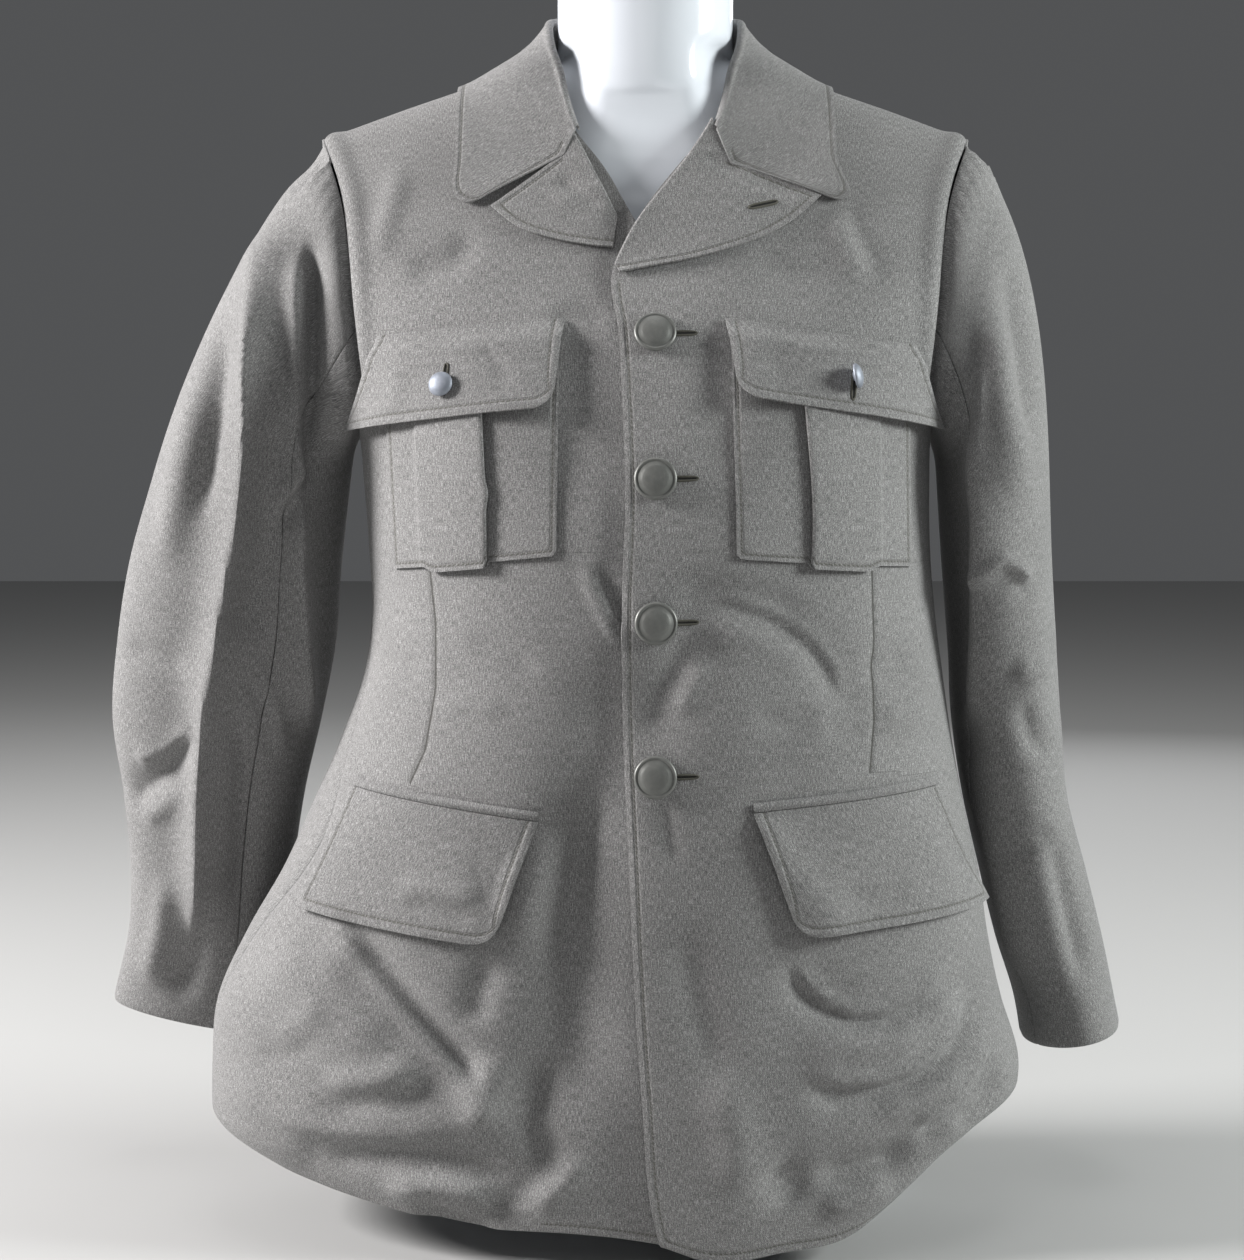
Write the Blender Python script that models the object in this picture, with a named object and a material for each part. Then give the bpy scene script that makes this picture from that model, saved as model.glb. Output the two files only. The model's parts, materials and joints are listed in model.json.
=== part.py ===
# Military uniform jacket, four buttons and four flapped pockets, on a smooth limbless dress form.
# Units are metres, +Z is up, the front faces -Y and +X is the wearer's left.
# The origin is the middle of the dress form's foot, on the floor.
# Every panel is worked out from one torso surface, so the pieces share their seams.

import math

import bmesh
import bpy
import numpy as np

# Driving sizes
CLOTH = 0.002
TRIM = 0.0015
SEAM_GAP = 0.00035
LAY_GAP = 0.0006
POCKET_GAP = 0.0009
LEFT = 1
RIGHT = -1

# The torso surface: half widths, depths and the depth of its widest line at each height
SECTION_COLUMNS = ("z", "left", "right", "front", "back", "middle")
SECTIONS = (
    (0.000, 0.196, 0.255, -0.166, 0.098, -0.036),
    (0.050, 0.224, 0.272, -0.165, 0.104, -0.036),
    (0.100, 0.236, 0.274, -0.164, 0.109, -0.035),
    (0.140, 0.225, 0.270, -0.162, 0.112, -0.032),
    (0.180, 0.2165, 0.252, -0.160, 0.114, -0.027),
    (0.220, 0.211, 0.229, -0.159, 0.113, -0.022),
    (0.260, 0.202, 0.211, -0.157, 0.111, -0.017),
    (0.300, 0.1945, 0.194, -0.1555, 0.108, -0.012),
    (0.340, 0.189, 0.179, -0.153, 0.105, -0.007),
    (0.380, 0.184, 0.1735, -0.1505, 0.104, -0.003),
    (0.420, 0.181, 0.1755, -0.146, 0.106, 0.000),
    (0.460, 0.1805, 0.1785, -0.1385, 0.110, 0.002),
    (0.495, 0.182, 0.182, -0.130, 0.114, 0.003),
    (0.525, 0.190, 0.190, -0.119, 0.117, 0.004),
    (0.555, 0.199, 0.199, -0.1055, 0.119, 0.005),
    (0.590, 0.210, 0.210, -0.0875, 0.120, 0.005),
    (0.620, 0.219, 0.219, -0.0760, 0.120, 0.005),
    (0.650, 0.228, 0.228, -0.0670, 0.120, 0.005),
    (0.700, 0.242, 0.242, -0.0580, 0.120, 0.005),
    (0.760, 0.250, 0.250, -0.0520, 0.120, 0.005),
)
SQUARENESS = 2.4

# The shoulder line seen from the front, and the height from which the chest turns back to it
SHOULDER_COLUMNS = ("x", "z")
SHOULDER = (
    (0.000, 0.757),
    (0.030, 0.7455),
    (0.064, 0.7285),
    (0.1175, 0.709),
    (0.160, 0.6945),
    (0.204, 0.678),
    (0.240, 0.662),
)
SHOULDER_FROM = 0.50
SHOULDER_ROUND = 3.0

# The armhole: its top and bottom, and how far out its edge is at each height
PIT_Z = 0.495
TIP_Z = 0.678
SHOULDER_TIP = 0.204
ARMHOLE_COLUMNS = ("z", "x")
ARMHOLE = (
    (0.495, 0.182),
    (0.503, 0.178),
    (0.525, 0.1755),
    (0.550, 0.178),
    (0.575, 0.181),
    (0.605, 0.184),
    (0.640, 0.1895),
    (0.660, 0.196),
    (0.678, 0.204),
)

# The neckline: its point on the shoulder and how far its middle rises at the back
NECK_X = 0.064
NECK_Z = 0.7285
NECK_RISE = 0.008

# The front edges, up the placket and the lapel's roll to the neckline
EDGE_COLUMNS = ("z", "x")
EDGE_LEFT = (
    (0.000, 0.013),
    (0.030, 0.004),
    (0.100, -0.003),
    (0.250, -0.0112),
    (0.340, -0.0147),
    (0.396, -0.0147),
    (0.454, -0.0129),
    (0.513, -0.0147),
    (0.555, -0.0171),
    (0.588, -0.0207),
    (0.619, -0.0056),
    (0.654, 0.0210),
    (0.677, 0.0415),
    (0.700, 0.0540),
    (0.717, 0.0610),
    (0.7285, 0.0640),
)
EDGE_RIGHT = (
    (0.000, 0.040),
    (0.300, 0.036),
    (0.550, 0.032),
    (0.575, 0.022),
    (0.597, 0.010),
    (0.619, -0.0056),
    (0.651, -0.0250),
    (0.677, -0.0445),
    (0.700, -0.0560),
    (0.717, -0.0620),
    (0.7285, -0.0640),
)

# The hem's height and how far it rolls in, by the angle from the front, positive to the left
HEM_COLUMNS = ("angle", "z", "roll")
HEM = (
    (-180, 0.034, 0.006),
    (-130, 0.044, 0.012),
    (-95, 0.050, 0.020),
    (-60, 0.045, 0.018),
    (-40, 0.036, 0.010),
    (-20, 0.024, 0.002),
    (0, 0.0165, 0.000),
    (6, 0.007, 0.000),
    (20, 0.009, 0.000),
    (32, 0.014, 0.002),
    (42, 0.030, 0.010),
    (55, 0.054, 0.018),
    (80, 0.070, 0.022),
    (120, 0.056, 0.012),
    (180, 0.034, 0.006),
)
HEM_TOP = 0.13
ROLL_SHARE = 0.30

# The side seam's angle from the front at each height
SEAM_COLUMNS = ("z", "left", "right")
SIDE_SEAM = (
    (0.00, 86, 84),
    (0.15, 86, 80),
    (0.19, 86, 74),
    (0.25, 85, 64),
    (0.30, 86, 70),
    (0.40, 88, 85),
    (0.495, 90, 90),
)

# How far the left front lies over the right one
LAP_OVER = 0.0027
LAP_FLAT = 0.046
LAP_END = 0.090
LAP_FADE = (0.622, 0.665)
LAP_TUCK = 0.0012
LAP_TUCK_FROM = (-0.034, -0.014)

# The large folds, each a line of places seen from the front or the back, raised or sunk
FOLD_COLUMNS = ("face", "depth", "width", "line")
FOLDS = (
    ("front", -0.0050, 0.018, ((-0.166, 0.172), (-0.145, 0.150), (-0.110, 0.118))),
    ("front", 0.0035, 0.016, ((-0.215, 0.165), (-0.188, 0.134), (-0.155, 0.108))),
    ("front", -0.0050, 0.024, ((-0.024, 0.330), (-0.032, 0.250), (-0.046, 0.180), (-0.062, 0.110))),
    ("front", 0.0030, 0.014, ((-0.235, 0.090), (-0.178, 0.082), (-0.106, 0.088))),
    ("front", -0.0040, 0.014, ((-0.197, 0.060), (-0.148, 0.068), (-0.080, 0.056))),
    ("front", -0.0035, 0.014, ((0.030, 0.398), (0.071, 0.387), (0.099, 0.369), (0.118, 0.338))),
    ("front", -0.0035, 0.016, ((0.027, 0.374), (0.012, 0.345), (0.007, 0.322))),
    ("front", -0.0040, 0.014, ((0.098, 0.165), (0.125, 0.149), (0.158, 0.150))),
    ("front", -0.0040, 0.014, ((0.115, 0.104), (0.155, 0.111), (0.185, 0.128), (0.197, 0.150))),
    ("front", 0.0035, 0.014, ((0.110, 0.126), (0.150, 0.130), (0.176, 0.146))),
    ("front", -0.0035, 0.014, ((0.095, 0.052), (0.130, 0.058), (0.165, 0.070))),
    ("back", -0.0050, 0.022, ((-0.110, 0.390), (-0.020, 0.372), (0.075, 0.392))),
    ("back", 0.0040, 0.020, ((-0.120, 0.345), (-0.010, 0.336), (0.110, 0.350))),
    ("back", -0.0050, 0.020, ((0.165, 0.270), (0.120, 0.180), (0.090, 0.090))),
    ("back", -0.0045, 0.022, ((-0.170, 0.280), (-0.135, 0.190), (-0.118, 0.080))),
    ("back", -0.0040, 0.024, ((-0.125, 0.560), (-0.100, 0.480), (-0.105, 0.420))),
    ("back", -0.0040, 0.022, ((0.135, 0.565), (0.108, 0.490), (0.100, 0.430))),
)

# The sleeves below the cap: inner and outer edge from the front, and the depth they lie at
SLEEVE_COLUMNS = ("z", "inner", "outer", "middle", "half")
SLEEVE_LEFT = (
    (0.080, 0.2530, 0.3200, 0.041, 0.056),
    (0.120, 0.2460, 0.3110, 0.038, 0.058),
    (0.160, 0.2330, 0.3020, 0.034, 0.060),
    (0.210, 0.2200, 0.2885, 0.028, 0.064),
    (0.260, 0.2080, 0.2745, 0.022, 0.068),
    (0.310, 0.2000, 0.2690, 0.016, 0.070),
    (0.360, 0.1965, 0.2645, 0.012, 0.072),
    (0.410, 0.1920, 0.2605, 0.008, 0.073),
    (0.470, 0.1875, 0.2575, 0.005, 0.074),
)
SLEEVE_RIGHT = (
    (0.090, 0.2440, 0.3640, 0.079, 0.033),
    (0.120, 0.2425, 0.3570, 0.075, 0.034),
    (0.160, 0.2400, 0.3465, 0.067, 0.037),
    (0.210, 0.2330, 0.3420, 0.053, 0.041),
    (0.260, 0.2235, 0.3435, 0.037, 0.043),
    (0.310, 0.2105, 0.3470, 0.024, 0.045),
    (0.360, 0.2000, 0.3415, 0.016, 0.048),
    (0.410, 0.1955, 0.3320, 0.010, 0.052),
    (0.470, 0.1880, 0.3135, 0.004, 0.056),
)
SLEEVE_TOP_Z = 0.470
CUFF_Z = {LEFT: 0.099, RIGHT: 0.099}
CUFF_TILT = {LEFT: 0.006, RIGHT: 0.012}

# The two seams of each sleeve, in degrees from its outer line round by the front,
# by the share of the way from the armhole to the cuff
SLEEVE_SEAM_COLUMNS = ("share", "front", "hind")
SLEEVE_SEAMS = {
    LEFT: ((0.0, 108.4, 251.6), (0.2, 118, 268), (0.4, 132, 300), (0.65, 146, 330), (1.0, 148, 325)),
    RIGHT: ((0.0, 108.4, 251.6), (0.2, 114, 254), (0.4, 120, 258), (0.65, 120, 262), (1.0, 116, 262)),
}
SLEEVE_FOLDS = (
    ("front", 0.0060, 0.014, ((-0.241, 0.600), (-0.243, 0.500), (-0.254, 0.439), (-0.277, 0.326), (-0.291, 0.199))),
    ("front", -0.0060, 0.014, ((-0.213, 0.600), (-0.213, 0.500), (-0.234, 0.427), (-0.250, 0.380))),
    ("front", 0.0040, 0.012, ((-0.214, 0.480), (-0.221, 0.414), (-0.222, 0.339))),
    ("front", -0.0050, 0.013, ((-0.330, 0.262), (-0.307, 0.276), (-0.285, 0.300))),
    ("front", -0.0040, 0.012, ((0.196, 0.440), (0.200, 0.370), (0.196, 0.330))),
    ("front", 0.0045, 0.012, ((0.212, 0.470), (0.216, 0.380), (0.214, 0.330), (0.222, 0.250), (0.242, 0.150))),
    ("back", -0.0050, 0.014, ((-0.330, 0.330), (-0.290, 0.316), (-0.245, 0.330))),
    ("back", 0.0040, 0.014, ((-0.300, 0.430), (-0.305, 0.360), (-0.300, 0.250))),
    ("back", -0.0045, 0.014, ((0.262, 0.345), (0.235, 0.330), (0.210, 0.345))),
    ("back", 0.0040, 0.014, ((0.232, 0.460), (0.238, 0.360), (0.262, 0.220))),
)

# The collar on one side, from its end at the gorge to the middle of the back:
# the roll line's place, and the outer edge's place on the body seen from the front or the back
COLLAR_COLUMNS = ("share", "roll_x", "roll_y", "roll_z", "edge_x", "edge_z", "seam_x", "seam_z")
COLLAR = (
    (0.00, 0.0440, -0.0535, 0.6790, 0.1040, 0.6365, 0.0440, 0.6790),
    (0.08, 0.0475, -0.0480, 0.6880, 0.1150, 0.6420, 0.0480, 0.6860),
    (0.18, 0.0520, -0.0390, 0.7020, 0.1168, 0.6580, 0.0540, 0.7000),
    (0.30, 0.0560, -0.0275, 0.7180, 0.1172, 0.6810, 0.0590, 0.7120),
    (0.42, 0.0620, -0.0140, 0.7350, 0.1172, 0.7000, 0.0625, 0.7220),
    (0.52, 0.0640, 0.0040, 0.7490, 0.1165, 0.7094, 0.0640, 0.7285),
    (0.64, 0.0600, 0.0270, 0.7550, 0.1100, 0.6990, 0.0560, 0.7305),
    (0.78, 0.0460, 0.0500, 0.7590, 0.0820, 0.6890, 0.0420, 0.7335),
    (0.90, 0.0220, 0.0630, 0.7610, 0.0400, 0.6840, 0.0200, 0.7355),
    (1.00, 0.0000, 0.0670, 0.7615, 0.0000, 0.6820, 0.0000, 0.7365),
)
COLLAR_RIDGE = 0.52
ROLL_RADIUS = 0.0029

# The gorge line where the collar's end meets the lapel, from the roll out to the tip
GORGE_COLUMNS = ("share", "x", "z")
GORGE_LEFT = ((0.0, 0.0440, 0.6790), (0.22, 0.0505, 0.6640), (0.60, 0.0800, 0.6500), (1.0, 0.1040, 0.6365))
GORGE_RIGHT = ((0.0, 0.0450, 0.6790), (0.25, 0.0510, 0.6645), (0.60, 0.0790, 0.6490), (1.0, 0.1050, 0.6350))

# Each lapel: its roll, from the break up to the gorge, and its outer edge, as front-view places
LAPEL_COLUMNS = ("share", "roll_x", "roll_z", "edge_x", "edge_z")
LAPEL_LEFT = (
    (0.00, -0.0185, 0.5925, -0.0160, 0.5880),
    (0.12, -0.0140, 0.6020, 0.0020, 0.5915),
    (0.35, -0.0040, 0.6200, 0.0320, 0.5975),
    (0.60, 0.0120, 0.6410, 0.0640, 0.6080),
    (0.82, 0.0290, 0.6610, 0.0870, 0.6200),
    (1.00, 0.0425, 0.6760, 0.1030, 0.6330),
)
LAPEL_RIGHT = (
    (0.00, -0.0175, 0.6240, -0.0200, 0.6050),
    (0.25, -0.0240, 0.6360, -0.0340, 0.6060),
    (0.50, -0.0310, 0.6490, -0.0540, 0.6095),
    (0.75, -0.0380, 0.6630, -0.0760, 0.6160),
    (1.00, -0.0435, 0.6725, -0.0930, 0.6270),
)

# Pockets, flaps and welts: four corners seen from the front, round from the upper inner one
PATCH_COLUMNS = ("top_inner", "top_outer", "low_outer", "low_inner")
POCKETS = {
    LEFT: ((0.050, 0.551), (0.1600, 0.541), (0.1605, 0.412), (0.0520, 0.419)),
    RIGHT: ((-0.052, 0.552), (-0.1600, 0.544), (-0.1520, 0.411), (-0.0530, 0.421)),
}
CHEST_FLAPS = {
    LEFT: ((0.047, 0.560), (0.164, 0.5465), (0.1745, 0.497), (0.0535, 0.512)),
    RIGHT: ((-0.049, 0.562), (-0.163, 0.552), (-0.1755, 0.496), (-0.0550, 0.506)),
}
HIP_FLAPS = {
    LEFT: ((0.062, 0.2705), (0.1765, 0.279), (0.2080, 0.2045), (0.0890, 0.196)),
    RIGHT: ((-0.064, 0.2650), (-0.178, 0.279), (-0.2090, 0.2045), (-0.0910, 0.191)),
}
WELT_TALL = 0.006
FLAP_RADIUS = 0.013
PLEAT = {LEFT: (0.40, 0.76), RIGHT: (0.37, 0.76)}
PLEAT_TALL = 0.0018
FLAP_STAND = 0.0020

# Buttons
FRONT_BUTTON_COLUMNS = ("z", "seat")
FRONT_BUTTONS = ((0.552, 0.0003), (0.466, 0.0002), (0.382, -0.0009), (0.292, -0.0005))
FRONT_BUTTON_X = 0.005
FRONT_BUTTON_RADIUS = 0.0127
CHEST_BUTTON_RADIUS = 0.0076
CHEST_BUTTONS = {LEFT: (0.122, 0.5255), RIGHT: (-0.122, 0.5215)}
CHEST_TURN = {LEFT: 52, RIGHT: 6}
CHEST_SEAT = {LEFT: 0.0008, RIGHT: -0.0001}
BUTTON_SIDES = 14
BUTTON_COLUMNS = ("radius", "height")
BUTTON_PROFILE = ((0.30, 0.00), (0.30, 0.10), (0.94, 0.12), (1.00, 0.24),
                  (0.90, 0.35), (0.84, 0.32), (0.58, 0.42), (0.28, 0.47))

# The dress form: each ring's side and its front and back middle
FORM_COLUMNS = ("side_x", "side_z", "front_y", "front_z", "back_y", "back_z")
FORM = (
    (0.1280, 0.0000, -0.084, 0.0000, 0.082, 0.0000),
    (0.1300, 0.0040, -0.086, 0.0040, 0.084, 0.0040),
    (0.1420, 0.0700, -0.096, 0.0700, 0.092, 0.0700),
    (0.1560, 0.1400, -0.104, 0.1400, 0.100, 0.1400),
    (0.1600, 0.1900, -0.108, 0.1900, 0.103, 0.1900),
    (0.1540, 0.2500, -0.108, 0.2500, 0.100, 0.2500),
    (0.1440, 0.3100, -0.106, 0.3100, 0.094, 0.3100),
    (0.1440, 0.3700, -0.110, 0.3700, 0.092, 0.3700),
    (0.1560, 0.4300, -0.118, 0.4300, 0.096, 0.4300),
    (0.1660, 0.4900, -0.118, 0.4900, 0.103, 0.4900),
    (0.1690, 0.5500, -0.096, 0.5400, 0.108, 0.5500),
    (0.1720, 0.6000, -0.075, 0.5850, 0.109, 0.6050),
    (0.1740, 0.6450, -0.060, 0.6200, 0.106, 0.6500),
    (0.1700, 0.6700, -0.053, 0.6450, 0.100, 0.6800),
    (0.1600, 0.6910, -0.048, 0.6620, 0.090, 0.6990),
    (0.1400, 0.6976, -0.0455, 0.6760, 0.078, 0.7050),
    (0.1175, 0.7060, -0.044, 0.6880, 0.066, 0.7110),
    (0.0900, 0.7144, -0.0435, 0.7000, 0.059, 0.7200),
    (0.0640, 0.7185, -0.044, 0.7080, 0.0540, 0.7290),
    (0.0560, 0.7310, -0.0445, 0.7240, 0.0525, 0.7480),
    (0.0555, 0.7560, -0.0450, 0.7500, 0.0520, 0.7660),
    (0.0555, 0.7850, -0.0455, 0.7800, 0.0520, 0.7880),
    (0.0545, 0.7985, -0.0440, 0.7985, 0.0510, 0.7985),
    (0.0520, 0.8000, -0.0415, 0.8000, 0.0485, 0.8000),
)
FORM_COLUMNS_ROUND = 28

FORM_DROP = 0.0052
FORM_CLEAR = 0.0060
FORM_OPEN = (0.026, 0.050)

# Grid sizes
FRONT_COLUMNS = 14
BACK_COLUMNS = 20
SKIRT_STEPS = (0.0, 0.14, 0.30, 0.52, 0.76)
BODY_HEIGHTS = (0.13, 0.16, 0.19, 0.22, 0.25, 0.28, 0.31, 0.34, 0.37, 0.40, 0.43, 0.46, PIT_Z)
YOKE_STEPS = 12
YOKE_CLOSER = 1.25
NECK_COLUMNS = 13
SEAM_YOKE_STEP = 4
SLEEVE_CAP_STEPS = 8
SLEEVE_STEPS = 14


def smooth(rows, column, x):
    """Reads one column of a table at x, along a smooth curve through its rows."""
    table = np.array(rows, float)
    xs, ys = table[:, 0], table[:, column]
    slopes = np.gradient(ys, xs)
    x = np.clip(np.asarray(x, float), xs[0], xs[-1])
    i = np.clip(np.searchsorted(xs, x) - 1, 0, len(xs) - 2)
    step = xs[i + 1] - xs[i]
    t = (x - xs[i]) / step
    start = (2 * t**3 - 3 * t**2 + 1) * ys[i] + (t**3 - 2 * t**2 + t) * step * slopes[i]
    return start + (3 * t**2 - 2 * t**3) * ys[i + 1] + (t**3 - t**2) * step * slopes[i + 1]


def ease(low, high, x):
    """Goes smoothly from 0 at low to 1 at high."""
    t = np.clip((np.asarray(x, float) - low) / (high - low), 0, 1)
    return t * t * (3 - 2 * t)


def unit(v):
    v = np.asarray(v, float)
    return v / np.maximum(np.linalg.norm(v, axis=-1, keepdims=True), 1e-12)


# The torso surface
def half_width(x, z):
    left = smooth(SECTIONS, SECTION_COLUMNS.index("left"), z)
    right = smooth(SECTIONS, SECTION_COLUMNS.index("right"), z)
    return np.where(np.asarray(x) >= 0, left, right)


def middle_y(z):
    return smooth(SECTIONS, SECTION_COLUMNS.index("middle"), z)


def shoulder_z(x):
    return smooth(SHOULDER, 1, np.abs(x))


def fullness(x, z):
    """How deep the torso is at a place seen from the front: 1 in the middle, 0 on its outline."""
    across = np.clip(np.abs(x) / half_width(x, z), 0, 1) ** SQUARENESS
    up = np.clip((np.asarray(z) - SHOULDER_FROM) / (shoulder_z(x) - SHOULDER_FROM), 0, 1)
    return ((1 - across) * (1 - up**SHOULDER_ROUND)) ** (1 / SQUARENESS)


def front_y(x, z):
    deep = smooth(SECTIONS, SECTION_COLUMNS.index("front"), z)
    return middle_y(z) + (deep - middle_y(z)) * fullness(x, z)


def back_y(x, z):
    deep = smooth(SECTIONS, SECTION_COLUMNS.index("back"), z)
    return middle_y(z) + (deep - middle_y(z)) * fullness(x, z)


def body_point(face, x, z):
    y = front_y(x, z) if face == "front" else back_y(x, z)
    return np.stack(np.broadcast_arrays(x, y, z), axis=-1).astype(float)


def body_level(p):
    """Rises outwards through the torso surface, so its slope gives the surface's normal."""
    x, y, z = p[..., 0], p[..., 1], p[..., 2]
    front = smooth(SECTIONS, SECTION_COLUMNS.index("front"), z)
    back = smooth(SECTIONS, SECTION_COLUMNS.index("back"), z)
    mid = middle_y(z)
    deep = np.where(y < mid, mid - front, back - mid)
    across = (np.abs(x) / half_width(x, z)) ** SQUARENESS
    up = np.clip((z - SHOULDER_FROM) / (shoulder_z(x) - SHOULDER_FROM), 0, 1.2) ** SHOULDER_ROUND
    return (np.abs(y - mid) / deep) ** SQUARENESS - (1 - across) * (1 - up)


def body_normal(p):
    step = 0.0006
    slopes = [body_level(p + step * axis) - body_level(p - step * axis) for axis in np.eye(3)]
    return unit(np.stack(slopes, axis=-1))


def fold_depth(folds, face, x, z):
    """How far the folds of a face raise or sink a place."""
    total = np.zeros(np.broadcast(x, z).shape)
    for fold_face, depth, width, line in folds:
        if fold_face == face:
            total = total + depth * np.exp(-((line_distance(line, x, z) / width) ** 2))
    return total


def line_distance(line, x, z):
    best = np.full(np.broadcast(x, z).shape, 1.0)
    for (ax, az), (bx, bz) in zip(line, line[1:]):
        dx, dz = bx - ax, bz - az
        t = np.clip(((x - ax) * dx + (z - az) * dz) / (dx * dx + dz * dz), 0, 1)
        best = np.minimum(best, np.hypot(x - ax - t * dx, z - az - t * dz))
    return best


def lap_lift(side, x, z):
    """The left front passes over the right one, which is tucked in a little under it."""
    over = LAP_OVER * (1 - ease(LAP_FLAT, LAP_END, x))
    under = -LAP_TUCK * ease(*LAP_TUCK_FROM, x)
    return (over if side == LEFT else under) * (1 - ease(*LAP_FADE, z))


# Meshes
def clear_scene():
    for old in list(bpy.data.objects):
        bpy.data.objects.remove(old, do_unlink=True)


def finish_object(name, vertices, faces, material):
    mesh = bpy.data.meshes.new(name)
    mesh.from_pydata([tuple(map(float, v)) for v in vertices], [], faces)
    shape = bmesh.new()
    shape.from_mesh(mesh)
    bmesh.ops.recalc_face_normals(shape, faces=shape.faces)
    bmesh.ops.triangulate(shape, faces=shape.faces)
    shape.to_mesh(mesh)
    shape.free()
    mesh.shade_smooth()
    mesh.set_sharp_from_angle(angle=math.radians(50))
    mesh.materials.append(material)
    piece = bpy.data.objects.new(name, mesh)
    bpy.context.collection.objects.link(piece)
    return piece


def wall(name, outer, normals, thickness, material):
    """A closed cloth wall from a grid of outer points and the directions it is thick along."""
    rows, columns = outer.shape[:2]
    inner = outer - normals * thickness
    vertices = np.concatenate([outer.reshape(-1, 3), inner.reshape(-1, 3)])
    layer = rows * columns

    def at(r, c, under=0):
        return under * layer + r * columns + c

    faces = []
    for r in range(rows - 1):
        for c in range(columns - 1):
            faces.append((at(r, c), at(r, c + 1), at(r + 1, c + 1), at(r + 1, c)))
            faces.append((at(r, c, 1), at(r + 1, c, 1), at(r + 1, c + 1, 1), at(r, c + 1, 1)))
    for r in range(rows - 1):
        for c in (0, columns - 1):
            faces.append((at(r, c), at(r + 1, c), at(r + 1, c, 1), at(r, c, 1)))
    for c in range(columns - 1):
        for r in (0, rows - 1):
            faces.append((at(r, c), at(r, c + 1), at(r, c + 1, 1), at(r, c, 1)))
    return finish_object(name, vertices, faces, material)


def skin(name, rings, material):
    """A closed solid from rings of points, with a flat face at each end."""
    rows, columns = rings.shape[:2]
    faces = []
    for r in range(rows - 1):
        for c in range(columns):
            d = (c + 1) % columns
            faces.append((r * columns + c, r * columns + d, (r + 1) * columns + d, (r + 1) * columns + c))
    faces.append(tuple(range(columns)))
    faces.append(tuple(range((rows - 1) * columns, rows * columns)))
    return finish_object(name, rings.reshape(-1, 3), faces, material)


def grid_normals(points, outward):
    """The normals of a grid, turned to the side that a guide direction points to."""
    n = unit(np.cross(np.gradient(points, axis=1), np.gradient(points, axis=0)))
    flip = np.sign(np.sum(n * outward, axis=-1, keepdims=True))
    return n * np.where(flip == 0, 1, flip)


def draw_in(points, edges):
    """Moves the named edges of a grid in by half a seam's gap."""
    points = points.copy()
    for edge in edges:
        row = {"first_row": 0, "last_row": -1}.get(edge)
        column = {"first_column": 0, "last_column": -1}.get(edge)
        if row is not None:
            near = points[1] if row == 0 else points[-2]
            points[row] += unit(near - points[row]) * SEAM_GAP / 2
        if column is not None:
            near = points[:, 1] if column == 0 else points[:, -2]
            points[:, column] += unit(near - points[:, column]) * SEAM_GAP / 2
    return points


def cloth_material(name, colour, roughness, metallic=0.0):
    material = bpy.data.materials.new(name)
    material.use_nodes = True
    shader = material.node_tree.nodes["Principled BSDF"]
    shader.inputs["Base Color"].default_value = (*colour, 1)
    shader.inputs["Roughness"].default_value = roughness
    shader.inputs["Metallic"].default_value = metallic
    return material


# Body panels
def angle_point(angle, z):
    """The torso at an angle from the front, in degrees, positive to the left."""
    turn = np.radians(np.asarray(angle, float))
    side = np.where(np.sin(turn) >= 0, 1.0, -1.0)
    x = side * half_width(side, z) * np.abs(np.sin(turn)) ** (2 / SQUARENESS)
    reach = np.abs(np.cos(turn)) ** (2 / SQUARENESS)
    front = smooth(SECTIONS, SECTION_COLUMNS.index("front"), z)
    back = smooth(SECTIONS, SECTION_COLUMNS.index("back"), z)
    mid = middle_y(z)
    y = mid + np.where(np.cos(turn) >= 0, front - mid, back - mid) * reach
    return np.stack(np.broadcast_arrays(x, y, z), axis=-1)


def angle_at(x, z):
    share = np.clip(np.abs(x) / half_width(x, z), 0, 1) ** (SQUARENESS / 2)
    return np.sign(x) * np.degrees(np.arcsin(share))


def skirt_point(angle, step):
    """The torso near the hem, which rolls in at the bottom."""
    turned = (np.asarray(angle, float) + 180) % 360 - 180
    hem = smooth(HEM, 1, turned)
    z = hem + (HEM_TOP - hem) * step
    p = angle_point(angle, z)
    roll = smooth(HEM, 2, turned) * np.clip(1 - step / ROLL_SHARE, 0, 1) ** 2
    inward = body_normal(p)
    inward[..., 2] = 0
    return p - unit(inward) * np.asarray(roll)[..., None]


def lower_rows(start, end, columns):
    """Grid rows from the hem to the armhole's height; start and end give angles by height."""
    share = np.linspace(0, 1, columns + 1)
    rows = []
    for step in SKIRT_STEPS:
        z = smooth(HEM, 1, 0) + (HEM_TOP - smooth(HEM, 1, 0)) * step
        angles = start(z) + (end(z) - start(z)) * share
        rows.append(skirt_point(angles, np.full(len(share), step)))
    for z in BODY_HEIGHTS:
        angles = start(z) + (end(z) - start(z)) * share
        rows.append(angle_point(angles, np.full(len(share), z)))
    return rows


def armhole_z(turn):
    """The height of a place on the armhole, by its angle from the tip in degrees."""
    return (TIP_Z + PIT_Z) / 2 + (TIP_Z - PIT_Z) / 2 * np.cos(np.radians(turn))


def armhole_turn(step):
    """The armhole's angle from its tip at a row of the body's grid, so that walls meet point to point."""
    return 180 * (1 - np.asarray(step) / YOKE_STEPS) ** YOKE_CLOSER


def yoke_shares():
    """Steps from the armhole's height to the shoulder, closer near the top."""
    return 1 - armhole_turn(np.arange(1, YOKE_STEPS + 1)) / 180


def front_edge_x(side, z):
    return smooth(EDGE_LEFT if side == LEFT else EDGE_RIGHT, 1, z)


def seam_angle(side, z):
    return side * smooth(SIDE_SEAM, SEAM_COLUMNS.index("left" if side == LEFT else "right"), z)


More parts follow.
